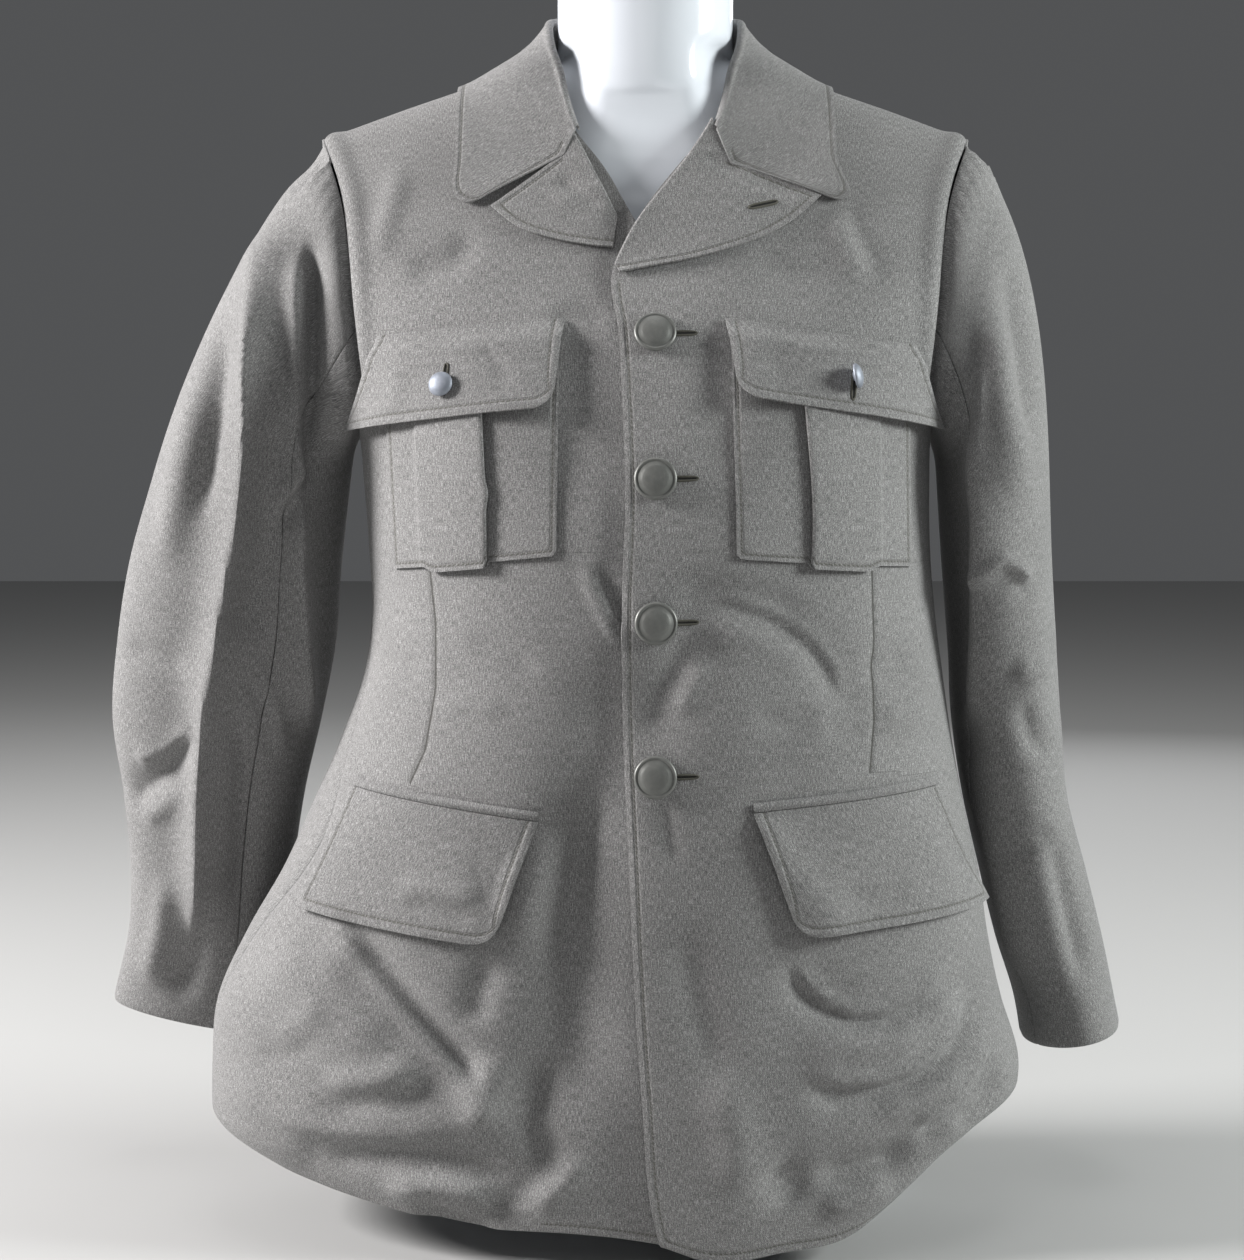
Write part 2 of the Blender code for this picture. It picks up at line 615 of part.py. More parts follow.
def front_grid(side):
    rows = lower_rows(
        lambda z: angle_at(front_edge_x(side, z), z), lambda z: seam_angle(side, z), FRONT_COLUMNS
    )
    pit = rows[-1]
    spread = (pit[:, 0] - pit[0, 0]) / (pit[-1, 0] - pit[0, 0])
    even = np.linspace(0, 1, FRONT_COLUMNS + 1)
    for share in yoke_shares():
        edge_z = PIT_Z + (NECK_Z - PIT_Z) * share
        arm_z = armhole_z(180 * (1 - share))
        across = spread + (even - spread) * share
        edge_x = front_edge_x(side, edge_z)
        x = edge_x + (side * smooth(ARMHOLE, 1, arm_z) - edge_x) * across
        z = edge_z + (arm_z - edge_z) * across
        z = z + (shoulder_z(x) - (NECK_Z + (TIP_Z - NECK_Z) * across)) * share**4
        rows.append(body_point("front", x, np.minimum(z, shoulder_z(x))))
    return np.array(rows)


def back_grid():
    rows = lower_rows(
        lambda z: seam_angle(LEFT, z), lambda z: 360 + seam_angle(RIGHT, z), BACK_COLUMNS
    )
    even = 1 - 2 * np.linspace(0, 1, BACK_COLUMNS + 1)
    pit_x = rows[-1][:, 0]
    neck_share = NECK_COLUMNS / BACK_COLUMNS
    top_x = np.where(
        np.abs(even) <= neck_share,
        even / neck_share * NECK_X,
        np.sign(even) * (NECK_X + (np.abs(even) - neck_share) / (1 - neck_share) * (SHOULDER_TIP - NECK_X)),
    )
    bend = np.clip(1 - (top_x / NECK_X) ** 2, 0, 1)
    top_z = np.where(np.abs(top_x) < NECK_X, NECK_Z + NECK_RISE * bend, shoulder_z(top_x))
    for share in yoke_shares():
        arm_z = armhole_z(180 * (1 - share))
        arm_x = smooth(ARMHOLE, 1, arm_z)
        middle_z = PIT_Z + (NECK_Z + NECK_RISE - PIT_Z) * share
        wide = pit_x + (top_x - pit_x) * share
        x = wide * (arm_x / np.abs(wide[0]))
        out = np.abs(x / x[0])
        z = middle_z + (arm_z - middle_z) * out**1.2
        straight = NECK_Z + NECK_RISE + (TIP_Z - NECK_Z - NECK_RISE) * out**1.2
        z = z + (top_z - straight) * share**3
        x = x + (top_x * arm_x / np.abs(top_x[0]) - x) * share**6
        rows.append(body_point("back", x, np.minimum(z, shoulder_z(x))))
    return np.array(rows)


def armhole_rim(points):
    """The direction that both walls are thick along where the sleeve is sewn in."""
    mid_z = (TIP_Z + PIT_Z) / 2
    up = (points[..., 2] - mid_z) / (TIP_Z - mid_z)
    forward = np.sign(points[..., 1] - middle_y(points[..., 2]))
    side = np.sign(points[..., 0])
    level = np.sqrt(np.clip(1 - up**2, 0, 1))
    return unit(np.stack([side * (0.35 + 0.25 * up), forward * level, 0.25 + 0.65 * up], axis=-1))


def rim_share(points):
    """1 round the upper armhole, fading to 0 at the pit, where the walls face each other."""
    return ease(PIT_Z + 0.006, PIT_Z + 0.035, points[..., 2])[..., None]


def panel_normals(points, face):
    outward = body_normal(points)
    n = grid_normals(points, outward)
    pit = len(SKIRT_STEPS) + len(BODY_HEIGHTS) - 1
    columns = (-1,) if face == "front" else (0, -1)
    for c in columns:
        n[: pit + 1, c] = outward[: pit + 1, c]
        share = rim_share(points[pit:, c])
        n[pit:, c] = unit(n[pit:, c] * (1 - share) + armhole_rim(points[pit:, c]) * share)
    on_seam = np.abs(points[-1, :, 0]) >= NECK_X - 1e-6
    top = unit(np.stack([np.sign(points[-1, :, 0]) * 0.35, 0 * points[-1, :, 0], 1 + 0 * points[-1, :, 0]], -1))
    n[-1] = np.where(on_seam[:, None], top, n[-1])
    return n


def folded(points, normals, face):
    x, z = points[..., 0], points[..., 2]
    return points + normals * fold_depth(FOLDS, face, x, z)[..., None]


def add_body(material):
    for side, name in ((LEFT, "front_left"), (RIGHT, "front_right")):
        points = front_grid(side)
        normals = panel_normals(points, "front")
        outer = folded(points, normals, "front")
        outer = outer + normals * lap_lift(side, points[..., 0], points[..., 2])[..., None]
        outer = draw_in(outer, ("last_row", "last_column"))
        wall(name, outer, normals, CLOTH, material)
    points = back_grid()
    normals = panel_normals(points, "back")
    outer = draw_in(folded(points, normals, "back"), ("last_row", "first_column", "last_column"))
    wall("back", outer, normals, CLOTH, material)


# Sleeves
def armhole_point(side, turn):
    """The armhole, by the angle from its tip in degrees, going down the front first."""
    turn = np.asarray(turn, float) % 360
    z = armhole_z(turn)
    x = side * smooth(ARMHOLE, 1, z)
    y = np.where(turn <= 180, front_y(x, z), back_y(x, z))
    return np.stack([x, y, z], axis=-1)


def sleeve_ring(side, turn, z):
    table = SLEEVE_LEFT if side == LEFT else SLEEVE_RIGHT
    inner, outer, middle, half = (smooth(table, column, z) for column in (1, 2, 3, 4))
    angle = np.radians(turn)
    x = side * ((inner + outer) / 2 + (outer - inner) / 2 * np.cos(angle))
    y = middle - half * np.sin(angle)
    return np.stack(np.broadcast_arrays(x, y, z), axis=-1)


def sleeve_cap(side, turn, share):
    """The cap, from the armhole at 0 to the round sleeve at 1."""
    start = armhole_point(side, turn)
    end = sleeve_ring(side, turn, SLEEVE_TOP_Z)
    length = np.linalg.norm(end - start, axis=-1, keepdims=True)
    angle = np.radians(turn)
    leave = unit(np.stack([side * (0.58 + 0.10 * np.cos(angle)), -0.22 * np.sin(angle), -0.80 + 0 * angle], -1))
    arrive = unit(end - sleeve_ring(side, turn, SLEEVE_TOP_Z + 0.0001 - 0.03)) * -1
    t = share
    blend = (2 * t**3 - 3 * t**2 + 1) * start + (3 * t**2 - 2 * t**3) * end
    return blend + (t**3 - 2 * t**2 + t) * length * leave + (t**3 - t**2) * length * arrive


def sewn_turns(part):
    """The angles round the armhole at which one part of the sleeve meets the body's rows."""
    front = armhole_turn(np.arange(SEAM_YOKE_STEP, YOKE_STEPS + 1))
    if part == "upper":
        return np.concatenate([-front, front[-2::-1]])
    under = armhole_turn(np.arange(SEAM_YOKE_STEP, -1, -1))
    return np.concatenate([under, 360 - under[-2::-1]])


def sleeve_turns(side, part, share):
    """The angles of one part's columns, from the armhole at 0 to the cuff at 1."""
    sewn = sewn_turns(part)
    front, hind = smooth(SLEEVE_SEAMS[side], 1, share), smooth(SLEEVE_SEAMS[side], 2, share)
    across = np.linspace(0, 1, len(sewn))
    start, end = (hind - 360, front) if part == "upper" else (front, hind)
    even = start + (end - start) * across
    drift = (start - sewn[0]) * (1 - across) + (end - sewn[-1]) * across
    return (sewn + drift) + (even - sewn - drift) * ease(0, 0.30, share)


def sleeve_grid(side, part):
    cap_share = SLEEVE_CAP_STEPS / (SLEEVE_CAP_STEPS + SLEEVE_STEPS)
    rows = []
    for step in range(SLEEVE_CAP_STEPS):
        share = (step / SLEEVE_CAP_STEPS) ** 1.1
        rows.append(sleeve_cap(side, sleeve_turns(side, part, share * cap_share), share))
    for step in range(SLEEVE_STEPS + 1):
        share = step / SLEEVE_STEPS
        level = SLEEVE_TOP_Z + (CUFF_Z[side] - SLEEVE_TOP_Z) * share
        angles = sleeve_turns(side, part, cap_share + (1 - cap_share) * share)
        z = level + CUFF_TILT[side] * np.cos(np.radians(angles)) * share
        rows.append(sleeve_ring(side, angles, z))
    return np.array(rows)


def sleeve_outward(side, points):
    table = SLEEVE_LEFT if side == LEFT else SLEEVE_RIGHT
    z = np.clip(points[..., 2], table[0][0], SLEEVE_TOP_Z)
    centre = np.stack(
        [side * (smooth(table, 1, z) + smooth(table, 2, z)) / 2, smooth(table, 3, z), points[..., 2]], -1
    )
    return unit(points - centre)


def sleeve_surface(side, part):
    points = sleeve_grid(side, part)
    outward = sleeve_outward(side, points)
    normals = grid_normals(points, outward)
    for c in (0, -1):
        normals[:, c] = seam_normals(side, points, c, part)
    share = rim_share(points[0])
    normals[0] = unit(normals[0] * (1 - share) + armhole_rim(points[0]) * share)
    x, z = points[..., 0], points[..., 2]
    facing = np.clip(np.abs(normals[..., 1]) * 1.4, 0, 1)
    depth = np.where(
        normals[..., 1] < 0, fold_depth(SLEEVE_FOLDS, "front", x, z), fold_depth(SLEEVE_FOLDS, "back", x, z)
    )
    return points + normals * (depth * facing)[..., None], normals


def seam_normals(side, points, column, part):
    """Normals on a sleeve seam, worked out across it so that both halves agree."""
    other = sleeve_grid(side, "under" if part == "upper" else "upper")
    near = points[:, 1] if column == 0 else points[:, -2]
    far = other[:, -2] if column == 0 else other[:, 1]
    along = np.gradient(points[:, column], axis=0)
    across = far - near if column == 0 else near - far
    n = unit(np.cross(across, along))
    flip = np.sign(np.sum(n * sleeve_outward(side, points[:, column]), axis=-1, keepdims=True))
    return n * np.where(flip == 0, 1, flip)


def add_sleeves(material):
    for side, name in ((LEFT, "sleeve_left"), (RIGHT, "sleeve_right")):
        for part in ("upper", "under"):
            points, normals = sleeve_surface(side, part)
            points = draw_in(points, ("first_row", "first_row", "first_row", "first_column", "last_column"))
            wall(f"{name}_{part}", points, normals, CLOTH, material)


# Pieces that lie on the fronts
def on_front(side, x, z, out):
    """A place on a front, moved out along its normal, over its folds and the lap."""
    p = body_point("front", x, z)
    n = body_normal(p)
    lift = fold_depth(FOLDS, "front", x, z) + lap_lift(side, x, z)
    return p + n * (lift + out)[..., None], n


def quad(corners, across, down):
    """Front-view places in a four-cornered piece, with a rounded lower inner corner."""
    a, b, c, d = (np.array(corner, float) for corner in corners)
    across, down = across[..., None], down[..., None]
    top = a + (b - a) * across
    low = d + (c - d) * across
    return top + (low - top) * down


def patch_grid(corners, columns, rows, radius):
    share = np.asarray(columns, float)
    down = np.asarray(rows, float)
    across, down = np.meshgrid(share, down)
    wide = np.linalg.norm(np.array(corners[1]) - np.array(corners[0]))
    tall = np.linalg.norm(np.array(corners[3]) - np.array(corners[0]))
    near = np.clip(1 - across * wide / radius, 0, 1)
    rise = radius * (1 - np.sqrt(1 - near**2)) / tall
    down = down * (1 - rise * down**3)
    return quad(corners, across, down), across, down


def add_pocket(side, name, material):
    low, high = PLEAT[side]
    edge = 0.012
    columns = (0, 0.12, 0.25, low - edge, low + edge, (low + high) / 2, high - edge, high + edge, 0.88, 1)
    corners = list(POCKETS[side])
    places, across, down = patch_grid(corners, columns, np.linspace(0, 1, 9), 0.002)
    pleat = ease(low - edge, low + edge, across) * (1 - ease(high - edge, high + edge, across))
    sunk = ease(0.0, 0.12, down)
    out = POCKET_GAP + TRIM + PLEAT_TALL * pleat * sunk
    points, normals = on_front(side, places[..., 0], places[..., 1], out)
    flat, _ = on_front(side, places[..., 0], places[..., 1], out * 0 + POCKET_GAP)
    wall_between(name, points, flat, material)


def wall_between(name, outer, inner, material):
    thickness = np.linalg.norm(outer - inner, axis=-1, keepdims=True)
    wall(name, outer, (outer - inner) / thickness, thickness, material)


def add_flap(side, name, corners, base, lift, material):
    """A flap, close to the panel along its top and standing off it below."""
    places, across, down = patch_grid(corners, np.linspace(0, 1, 10), np.linspace(0, 1, 6) ** 0.85, FLAP_RADIUS)
    out = LAY_GAP + base * ease(0.0, 0.28, down) + lift * down**2
    outer, _ = on_front(side, places[..., 0], places[..., 1], out + TRIM)
    inner, _ = on_front(side, places[..., 0], places[..., 1], out)
    wall_between(name, outer, inner, material)


def add_welt(side, name, corners, material):
    a, b = np.array(corners[0]), np.array(corners[1])
    rise = np.array((0, WELT_TALL))
    gap = np.array((0, SEAM_GAP))
    strip = (a + rise, b + rise, b + gap, a + gap)
    places, _, down = patch_grid(strip, np.linspace(0, 1, 9), (0, 0.5, 1), 0.0015)
    rounded = 0.0008 * np.sin(np.pi * np.clip(down, 0, 1))
    outer, _ = on_front(side, places[..., 0], places[..., 1], POCKET_GAP + 0.0010 + rounded)
    inner, _ = on_front(side, places[..., 0], places[..., 1], POCKET_GAP + 0 * rounded)
    wall_between(name, outer, inner, material)


def add_pockets(material):
    for side, word in ((LEFT, "left"), (RIGHT, "right")):
        add_pocket(side, f"pocket_{word}", material)
        stand = POCKET_GAP + TRIM + PLEAT_TALL
        add_flap(side, f"flap_chest_{word}", CHEST_FLAPS[side], stand, FLAP_STAND, material)
        add_flap(side, f"flap_hip_{word}", HIP_FLAPS[side], 0.0, FLAP_STAND, material)
        add_welt(side, f"welt_{word}", HIP_FLAPS[side], material)


# Lapels and collar
def add_lapel(side, name, table, material):
    share = np.linspace(0, 1, 9)
    roll = np.stack([smooth(table, 1, share), smooth(table, 2, share)], -1)
    edge = np.stack([smooth(table, 3, share), smooth(table, 4, share)], -1)
    across = np.linspace(0, 1, 8)
    places = roll[:, None] + (edge - roll)[:, None] * across[None, :, None]
    gorge = GORGE_LEFT if side == LEFT else GORGE_RIGHT
    top = np.stack([side * smooth(gorge, 1, across), smooth(gorge, 2, across)], -1)
    own = places[-1] - (roll[-1] + (edge[-1] - roll[-1]) * across[:, None])
    sag = top - (top[0] + (top[-1] - top[0]) * across[:, None])
    weight = share**5 * (1.0 if side == LEFT else 0.5)
    places = places + (own + sag)[None] * weight[:, None, None]
    puff = 0.0022 * (1 - across[None, :]) ** 2 * ease(0, 0.3, share)[:, None] + 0.0012 * across[None, :] ** 2
    outer, _ = on_front(side, places[..., 0], places[..., 1], LAY_GAP + TRIM + puff)
    inner, _ = on_front(side, places[..., 0], places[..., 1], LAY_GAP + puff)
    wall_between(name, outer, inner, material)


def collar_station(side, share):
    """One line across the collar, from its outer edge over the roll to the foot of its stand."""
    amount = abs(share)
    roll = np.array([side * smooth(COLLAR, 1, amount), smooth(COLLAR, 2, amount), smooth(COLLAR, 3, amount)])
    edge = np.array([side * smooth(COLLAR, 4, amount), smooth(COLLAR, 5, amount)])
    seam = np.array([side * smooth(COLLAR, 6, amount), smooth(COLLAR, 7, amount)])
    face = "front" if amount < COLLAR_RIDGE else "back"
    steps = np.linspace(0, 1, 6)
    line = edge + (seam - edge) * steps[:, None]
    gorge = GORGE_LEFT if side == LEFT else GORGE_RIGHT
    bend = np.stack([side * smooth(gorge, 1, 1 - steps), smooth(gorge, 2, 1 - steps)], -1)
    straight = bend[0] + (bend[-1] - bend[0]) * steps[:, None]
    line = line + (bend - straight) * (1 - ease(0, 0.22, amount))
    z = np.minimum(line[:, 1], shoulder_z(line[:, 0]) - 1e-4)
    base = body_point(face, line[:, 0], z)
    n = body_normal(base)
    out = LAY_GAP + TRIM + 0.0014
    fall = base + n * out
    lift = roll - fall[-1]
    fall = fall + lift * (steps**2.2)[:, None]
    away = unit(np.array([fall[-1][0], fall[-1][1] - 0.004, 0.0]))
    up = np.array([0, 0, 1.0])
    centre = roll - away * ROLL_RADIUS
    arc = [centre + ROLL_RADIUS * (away * math.cos(a) + up * math.sin(a)) for a in np.radians((35, 80, 125, 170))]
    foot = body_point(face, seam[0], min(seam[1], shoulder_z(seam[0]) - 1e-4))
    foot = foot + np.array([0, 0, 0.0022 + TRIM]) - away * TRIM
    stand_top = centre - away * ROLL_RADIUS
    stand = [stand_top + (foot - stand_top) * t for t in (0.5, 1.0)]
    return np.array([*fall, *arc, *stand])


def add_collar(material):
    shares = np.concatenate([np.linspace(0, 0.16, 4), np.linspace(0.22, 1, 11)])
    right = [collar_station(RIGHT, s) for s in shares]
    left = [collar_station(LEFT, s) for s in shares[-2::-1]]
    points = np.array(right + left)
    normals = unit(np.cross(np.gradient(points, axis=0), np.gradient(points, axis=1)))
    guide = body_normal(points[:, :2])
    if np.sum(normals[:, :2] * guide) < 0:
        normals = -normals
    wall("collar", points, normals, TRIM, material)


# Buttons
def add_button(name, centre, normal, radius, turn, material):
    axis = unit(np.array(normal))
    across = unit(np.cross((0, 0, 1.0), axis))
    angle = math.radians(turn)
    axis = unit(axis * math.cos(angle) + across * math.sin(angle))
    across = unit(np.cross((0, 0, 1.0), axis))
    up = np.cross(axis, across)
    rings = []
    for share, height in BUTTON_PROFILE:
        angles = np.radians(np.arange(BUTTON_SIDES) * 360 / BUTTON_SIDES)
        ring = across * np.cos(angles)[:, None] + up * np.sin(angles)[:, None]
        rings.append(centre + ring * share * radius + axis * height * radius)
    skin(name, np.array(rings), material)


def add_buttons(front_material, chest_material):
    for number, (z, seat) in enumerate(FRONT_BUTTONS, start=1):
        spot, normal = on_front(LEFT, np.array([FRONT_BUTTON_X]), np.array([z]), np.array([seat]))
        add_button(f"button_front_{number}", spot[0], normal[0], FRONT_BUTTON_RADIUS, 0, front_material)
    for side, word in ((LEFT, "left"), (RIGHT, "right")):
        x, z = CHEST_BUTTONS[side]
        turn = CHEST_TURN[side]
        tall, low = CHEST_FLAPS[side][0][1], CHEST_FLAPS[side][3][1]
        down = (tall - z) / (tall - low)
        stand = POCKET_GAP + LAY_GAP + 2 * TRIM + PLEAT_TALL + FLAP_STAND * down**2
        edge_rise = CHEST_BUTTON_RADIUS * 0.3 * math.sin(math.radians(turn))
        out = stand + CHEST_SEAT[side] + edge_rise + 0.35 * CHEST_BUTTON_RADIUS * math.sin(math.radians(turn))
        spot, normal = on_front(side, np.array([x]), np.array([z]), np.array([out]))
        add_button(f"button_chest_{word}", spot[0], normal[0], CHEST_BUTTON_RADIUS, turn, chest_material)


# The dress form
def add_form(material):
    angles = np.radians(np.arange(FORM_COLUMNS_ROUND) * 360 / FORM_COLUMNS_ROUND)
    rings = []
    for side_x, side_z, ahead, ahead_z, behind, behind_z in FORM:
        sine, cosine = np.sin(angles), np.cos(angles)
        mid = 0.004 if side_z > 0.45 else 0.0
        squareness = 2.3 if side_x > 0.062 else 2.0
        x = side_x * np.sign(sine) * np.abs(sine) ** (2 / squareness)
        deep = np.where(cosine >= 0, ahead - mid, behind - mid)
        y = mid + deep * np.abs(cosine) ** (2 / squareness)
        end_z = np.where(cosine >= 0, ahead_z, behind_z)
        z = end_z + (side_z - end_z) * np.abs(sine) ** 3
        if PIT_Z < side_z < NECK_Z:
            under = z + FORM_DROP
            ahead_most = np.maximum(y, np.minimum(front_y(x, under) + FORM_CLEAR, mid))
            ahead_most = y + (ahead_most - y) * ease(*FORM_OPEN, np.abs(x))
            behind_most = np.minimum(y, np.maximum(back_y(x, under) - FORM_CLEAR, mid))
            y = np.where(cosine >= 0, ahead_most, behind_most)
        rings.append(np.stack([x, y, z], -1))
    skin("form", np.array(rings), material)


def main():
    clear_scene()
    wool = cloth_material("wool_twill", (0.27, 0.262, 0.235), 0.95)
    plastic = cloth_material("form_gloss_plastic", (0.83, 0.86, 0.90), 0.22)
    painted = cloth_material("button_painted_metal", (0.22, 0.215, 0.195), 0.45, 0.6)
    bare = cloth_material("button_bare_metal", (0.34, 0.36, 0.39), 0.38, 0.85)
    add_form(plastic)
    add_body(wool)
    add_sleeves(wool)
    add_pockets(wool)
    add_lapel(LEFT, "lapel_left", LAPEL_LEFT, wool)
    add_lapel(RIGHT, "lapel_right", LAPEL_RIGHT, wool)
    add_collar(wool)
    add_buttons(painted, bare)


main()
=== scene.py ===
# %% [markdown]
# # A wool uniform jacket on a dress form
# A jacket is a few flat pieces of cloth, cut to shape, sewn together and buttoned.
# The frame that this lesson loads holds those pieces as plain solids, at their real sizes.
# Here each one gets a finer wall of cloth with its creases, stitching, weave and buttons.

# %% Load the frame
import json
import math

import bpy
import numpy as np
from mathutils import Matrix, Vector
from mathutils.bvhtree import BVHTree

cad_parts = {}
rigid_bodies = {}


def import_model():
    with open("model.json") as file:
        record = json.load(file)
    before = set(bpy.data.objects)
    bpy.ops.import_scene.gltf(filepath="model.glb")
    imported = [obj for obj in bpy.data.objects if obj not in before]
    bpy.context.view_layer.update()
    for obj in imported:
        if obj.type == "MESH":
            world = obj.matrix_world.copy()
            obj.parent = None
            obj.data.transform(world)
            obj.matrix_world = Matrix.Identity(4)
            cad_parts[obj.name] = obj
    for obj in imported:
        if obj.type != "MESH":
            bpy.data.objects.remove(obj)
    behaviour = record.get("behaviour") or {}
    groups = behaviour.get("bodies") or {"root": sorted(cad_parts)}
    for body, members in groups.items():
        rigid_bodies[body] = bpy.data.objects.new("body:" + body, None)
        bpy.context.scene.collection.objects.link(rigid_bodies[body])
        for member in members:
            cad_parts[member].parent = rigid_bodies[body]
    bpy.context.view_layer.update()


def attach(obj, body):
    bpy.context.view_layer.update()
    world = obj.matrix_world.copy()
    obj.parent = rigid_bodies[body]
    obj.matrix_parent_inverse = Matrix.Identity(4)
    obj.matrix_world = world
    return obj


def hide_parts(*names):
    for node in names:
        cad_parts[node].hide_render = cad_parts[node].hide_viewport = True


bpy.ops.object.select_all(action="SELECT")
bpy.ops.object.delete()
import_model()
scene = bpy.context.scene
bpy.ops.object.select_all(action="DESELECT")

# %% [markdown]
# ## The sizes of the cloth
# A panel is a grid of points on one torso surface, so its neighbours share their seams with it.
# Short tables give the torso's half widths and depths at each height, in metres.
# They are the same tables that the solids were made from, so the fine cloth lies where the solids lie.

# %% Cloth, seams and sides
CLOTH = 0.002
TRIM = 0.0015
SEAM_GAP = 0.00035
LAY_GAP = 0.0006
POCKET_GAP = 0.0009
LEFT = 1
RIGHT = -1

# %% The torso at each height
SECTION_COLUMNS = ("z", "left", "right", "front", "back", "middle")
SECTIONS = (
    (0.000, 0.196, 0.255, -0.166, 0.098, -0.036),
    (0.050, 0.224, 0.272, -0.165, 0.104, -0.036),
    (0.100, 0.236, 0.274, -0.164, 0.109, -0.035),
    (0.140, 0.225, 0.270, -0.162, 0.112, -0.032),
    (0.180, 0.2165, 0.252, -0.160, 0.114, -0.027),
    (0.220, 0.211, 0.229, -0.159, 0.113, -0.022),
    (0.260, 0.202, 0.211, -0.157, 0.111, -0.017),
    (0.300, 0.1945, 0.194, -0.1555, 0.108, -0.012),
    (0.340, 0.189, 0.179, -0.153, 0.105, -0.007),
    (0.380, 0.184, 0.1735, -0.1505, 0.104, -0.003),
    (0.420, 0.181, 0.1755, -0.146, 0.106, 0.000),
    (0.460, 0.1805, 0.1785, -0.1385, 0.110, 0.002),
    (0.495, 0.182, 0.182, -0.130, 0.114, 0.003),
    (0.525, 0.190, 0.190, -0.119, 0.117, 0.004),
    (0.555, 0.199, 0.199, -0.1055, 0.119, 0.005),
    (0.590, 0.210, 0.210, -0.0875, 0.120, 0.005),
    (0.620, 0.219, 0.219, -0.0760, 0.120, 0.005),
    (0.650, 0.228, 0.228, -0.0670, 0.120, 0.005),
    (0.700, 0.242, 0.242, -0.0580, 0.120, 0.005),
    (0.760, 0.250, 0.250, -0.0520, 0.120, 0.005),
)
SQUARENESS = 2.4

# %% The shoulder line, the armhole and the neckline
# Each row: x, z
SHOULDER = (
    (0.000, 0.757),
    (0.030, 0.7455),
    (0.064, 0.7285),
    (0.1175, 0.709),
    (0.160, 0.6945),
    (0.204, 0.678),
    (0.240, 0.662),
)
SHOULDER_FROM = 0.50
SHOULDER_ROUND = 3.0
PIT_Z = 0.495
TIP_Z = 0.678
SHOULDER_TIP = 0.204
# Each row: z, x
ARMHOLE = (
    (0.495, 0.182),
    (0.503, 0.178),
    (0.525, 0.1755),
    (0.550, 0.178),
    (0.575, 0.181),
    (0.605, 0.184),
    (0.640, 0.1895),
    (0.660, 0.196),
    (0.678, 0.204),
)
NECK_X = 0.064
NECK_Z = 0.7285
NECK_RISE = 0.008

# %% The front edges, from the hem up to the neckline
# Each row: z, x
EDGE_LEFT = (
    (0.000, 0.013),
    (0.030, 0.004),
    (0.100, -0.003),
    (0.250, -0.0112),
    (0.340, -0.0147),
    (0.396, -0.0147),
    (0.454, -0.0129),
    (0.513, -0.0147),
    (0.555, -0.0171),
    (0.588, -0.0207),
    (0.619, -0.0056),
    (0.654, 0.0210),
    (0.677, 0.0415),
    (0.700, 0.0540),
    (0.717, 0.0610),
    (0.7285, 0.0640),
)
EDGE_RIGHT = (
    (0.000, 0.040),
    (0.300, 0.036),
    (0.550, 0.032),
    (0.575, 0.022),
    (0.597, 0.010),
    (0.619, -0.0056),
    (0.651, -0.0250),
    (0.677, -0.0445),
    (0.700, -0.0560),
    (0.717, -0.0620),
    (0.7285, -0.0640),
)

# %% The hem, and how far it rolls in
# Each row: angle, z, roll
HEM = (
    (-180, 0.034, 0.006),
    (-130, 0.044, 0.012),
    (-95, 0.050, 0.020),
    (-60, 0.045, 0.018),
    (-40, 0.036, 0.010),
    (-20, 0.024, 0.002),
    (0, 0.0165, 0.000),
    (6, 0.007, 0.000),
    (20, 0.009, 0.000),
    (32, 0.014, 0.002),
    (42, 0.030, 0.010),
    (55, 0.054, 0.018),
    (80, 0.070, 0.022),
    (120, 0.056, 0.012),
    (180, 0.034, 0.006),
)
HEM_TOP = 0.13
ROLL_SHARE = 0.30

# %% The side seams, and the lap of the left front over the right one
SEAM_COLUMNS = ("z", "left", "right")
SIDE_SEAM = (
    (0.00, 86, 84),
    (0.15, 86, 80),
    (0.19, 86, 74),
    (0.25, 85, 64),
    (0.30, 86, 70),
    (0.40, 88, 85),
    (0.495, 90, 90),
)
LAP_OVER = 0.0027
LAP_FLAT = 0.046
LAP_END = 0.090
LAP_FADE = (0.622, 0.665)
LAP_TUCK = 0.0012
LAP_TUCK_FROM = (-0.034, -0.014)

# %% [markdown]
# ## Folds and creases
# Heavy wool falls in a few broad folds, and small creases start where it is pulled or bent.
# A simulation would give other folds than this jacket has, so each one is a row of a table.
# A row gives the face it is seen from, its kind if it is a crease, its height and width, and its line.
# The broad folds are those of the solids. The creases are added here and fade out at both ends.

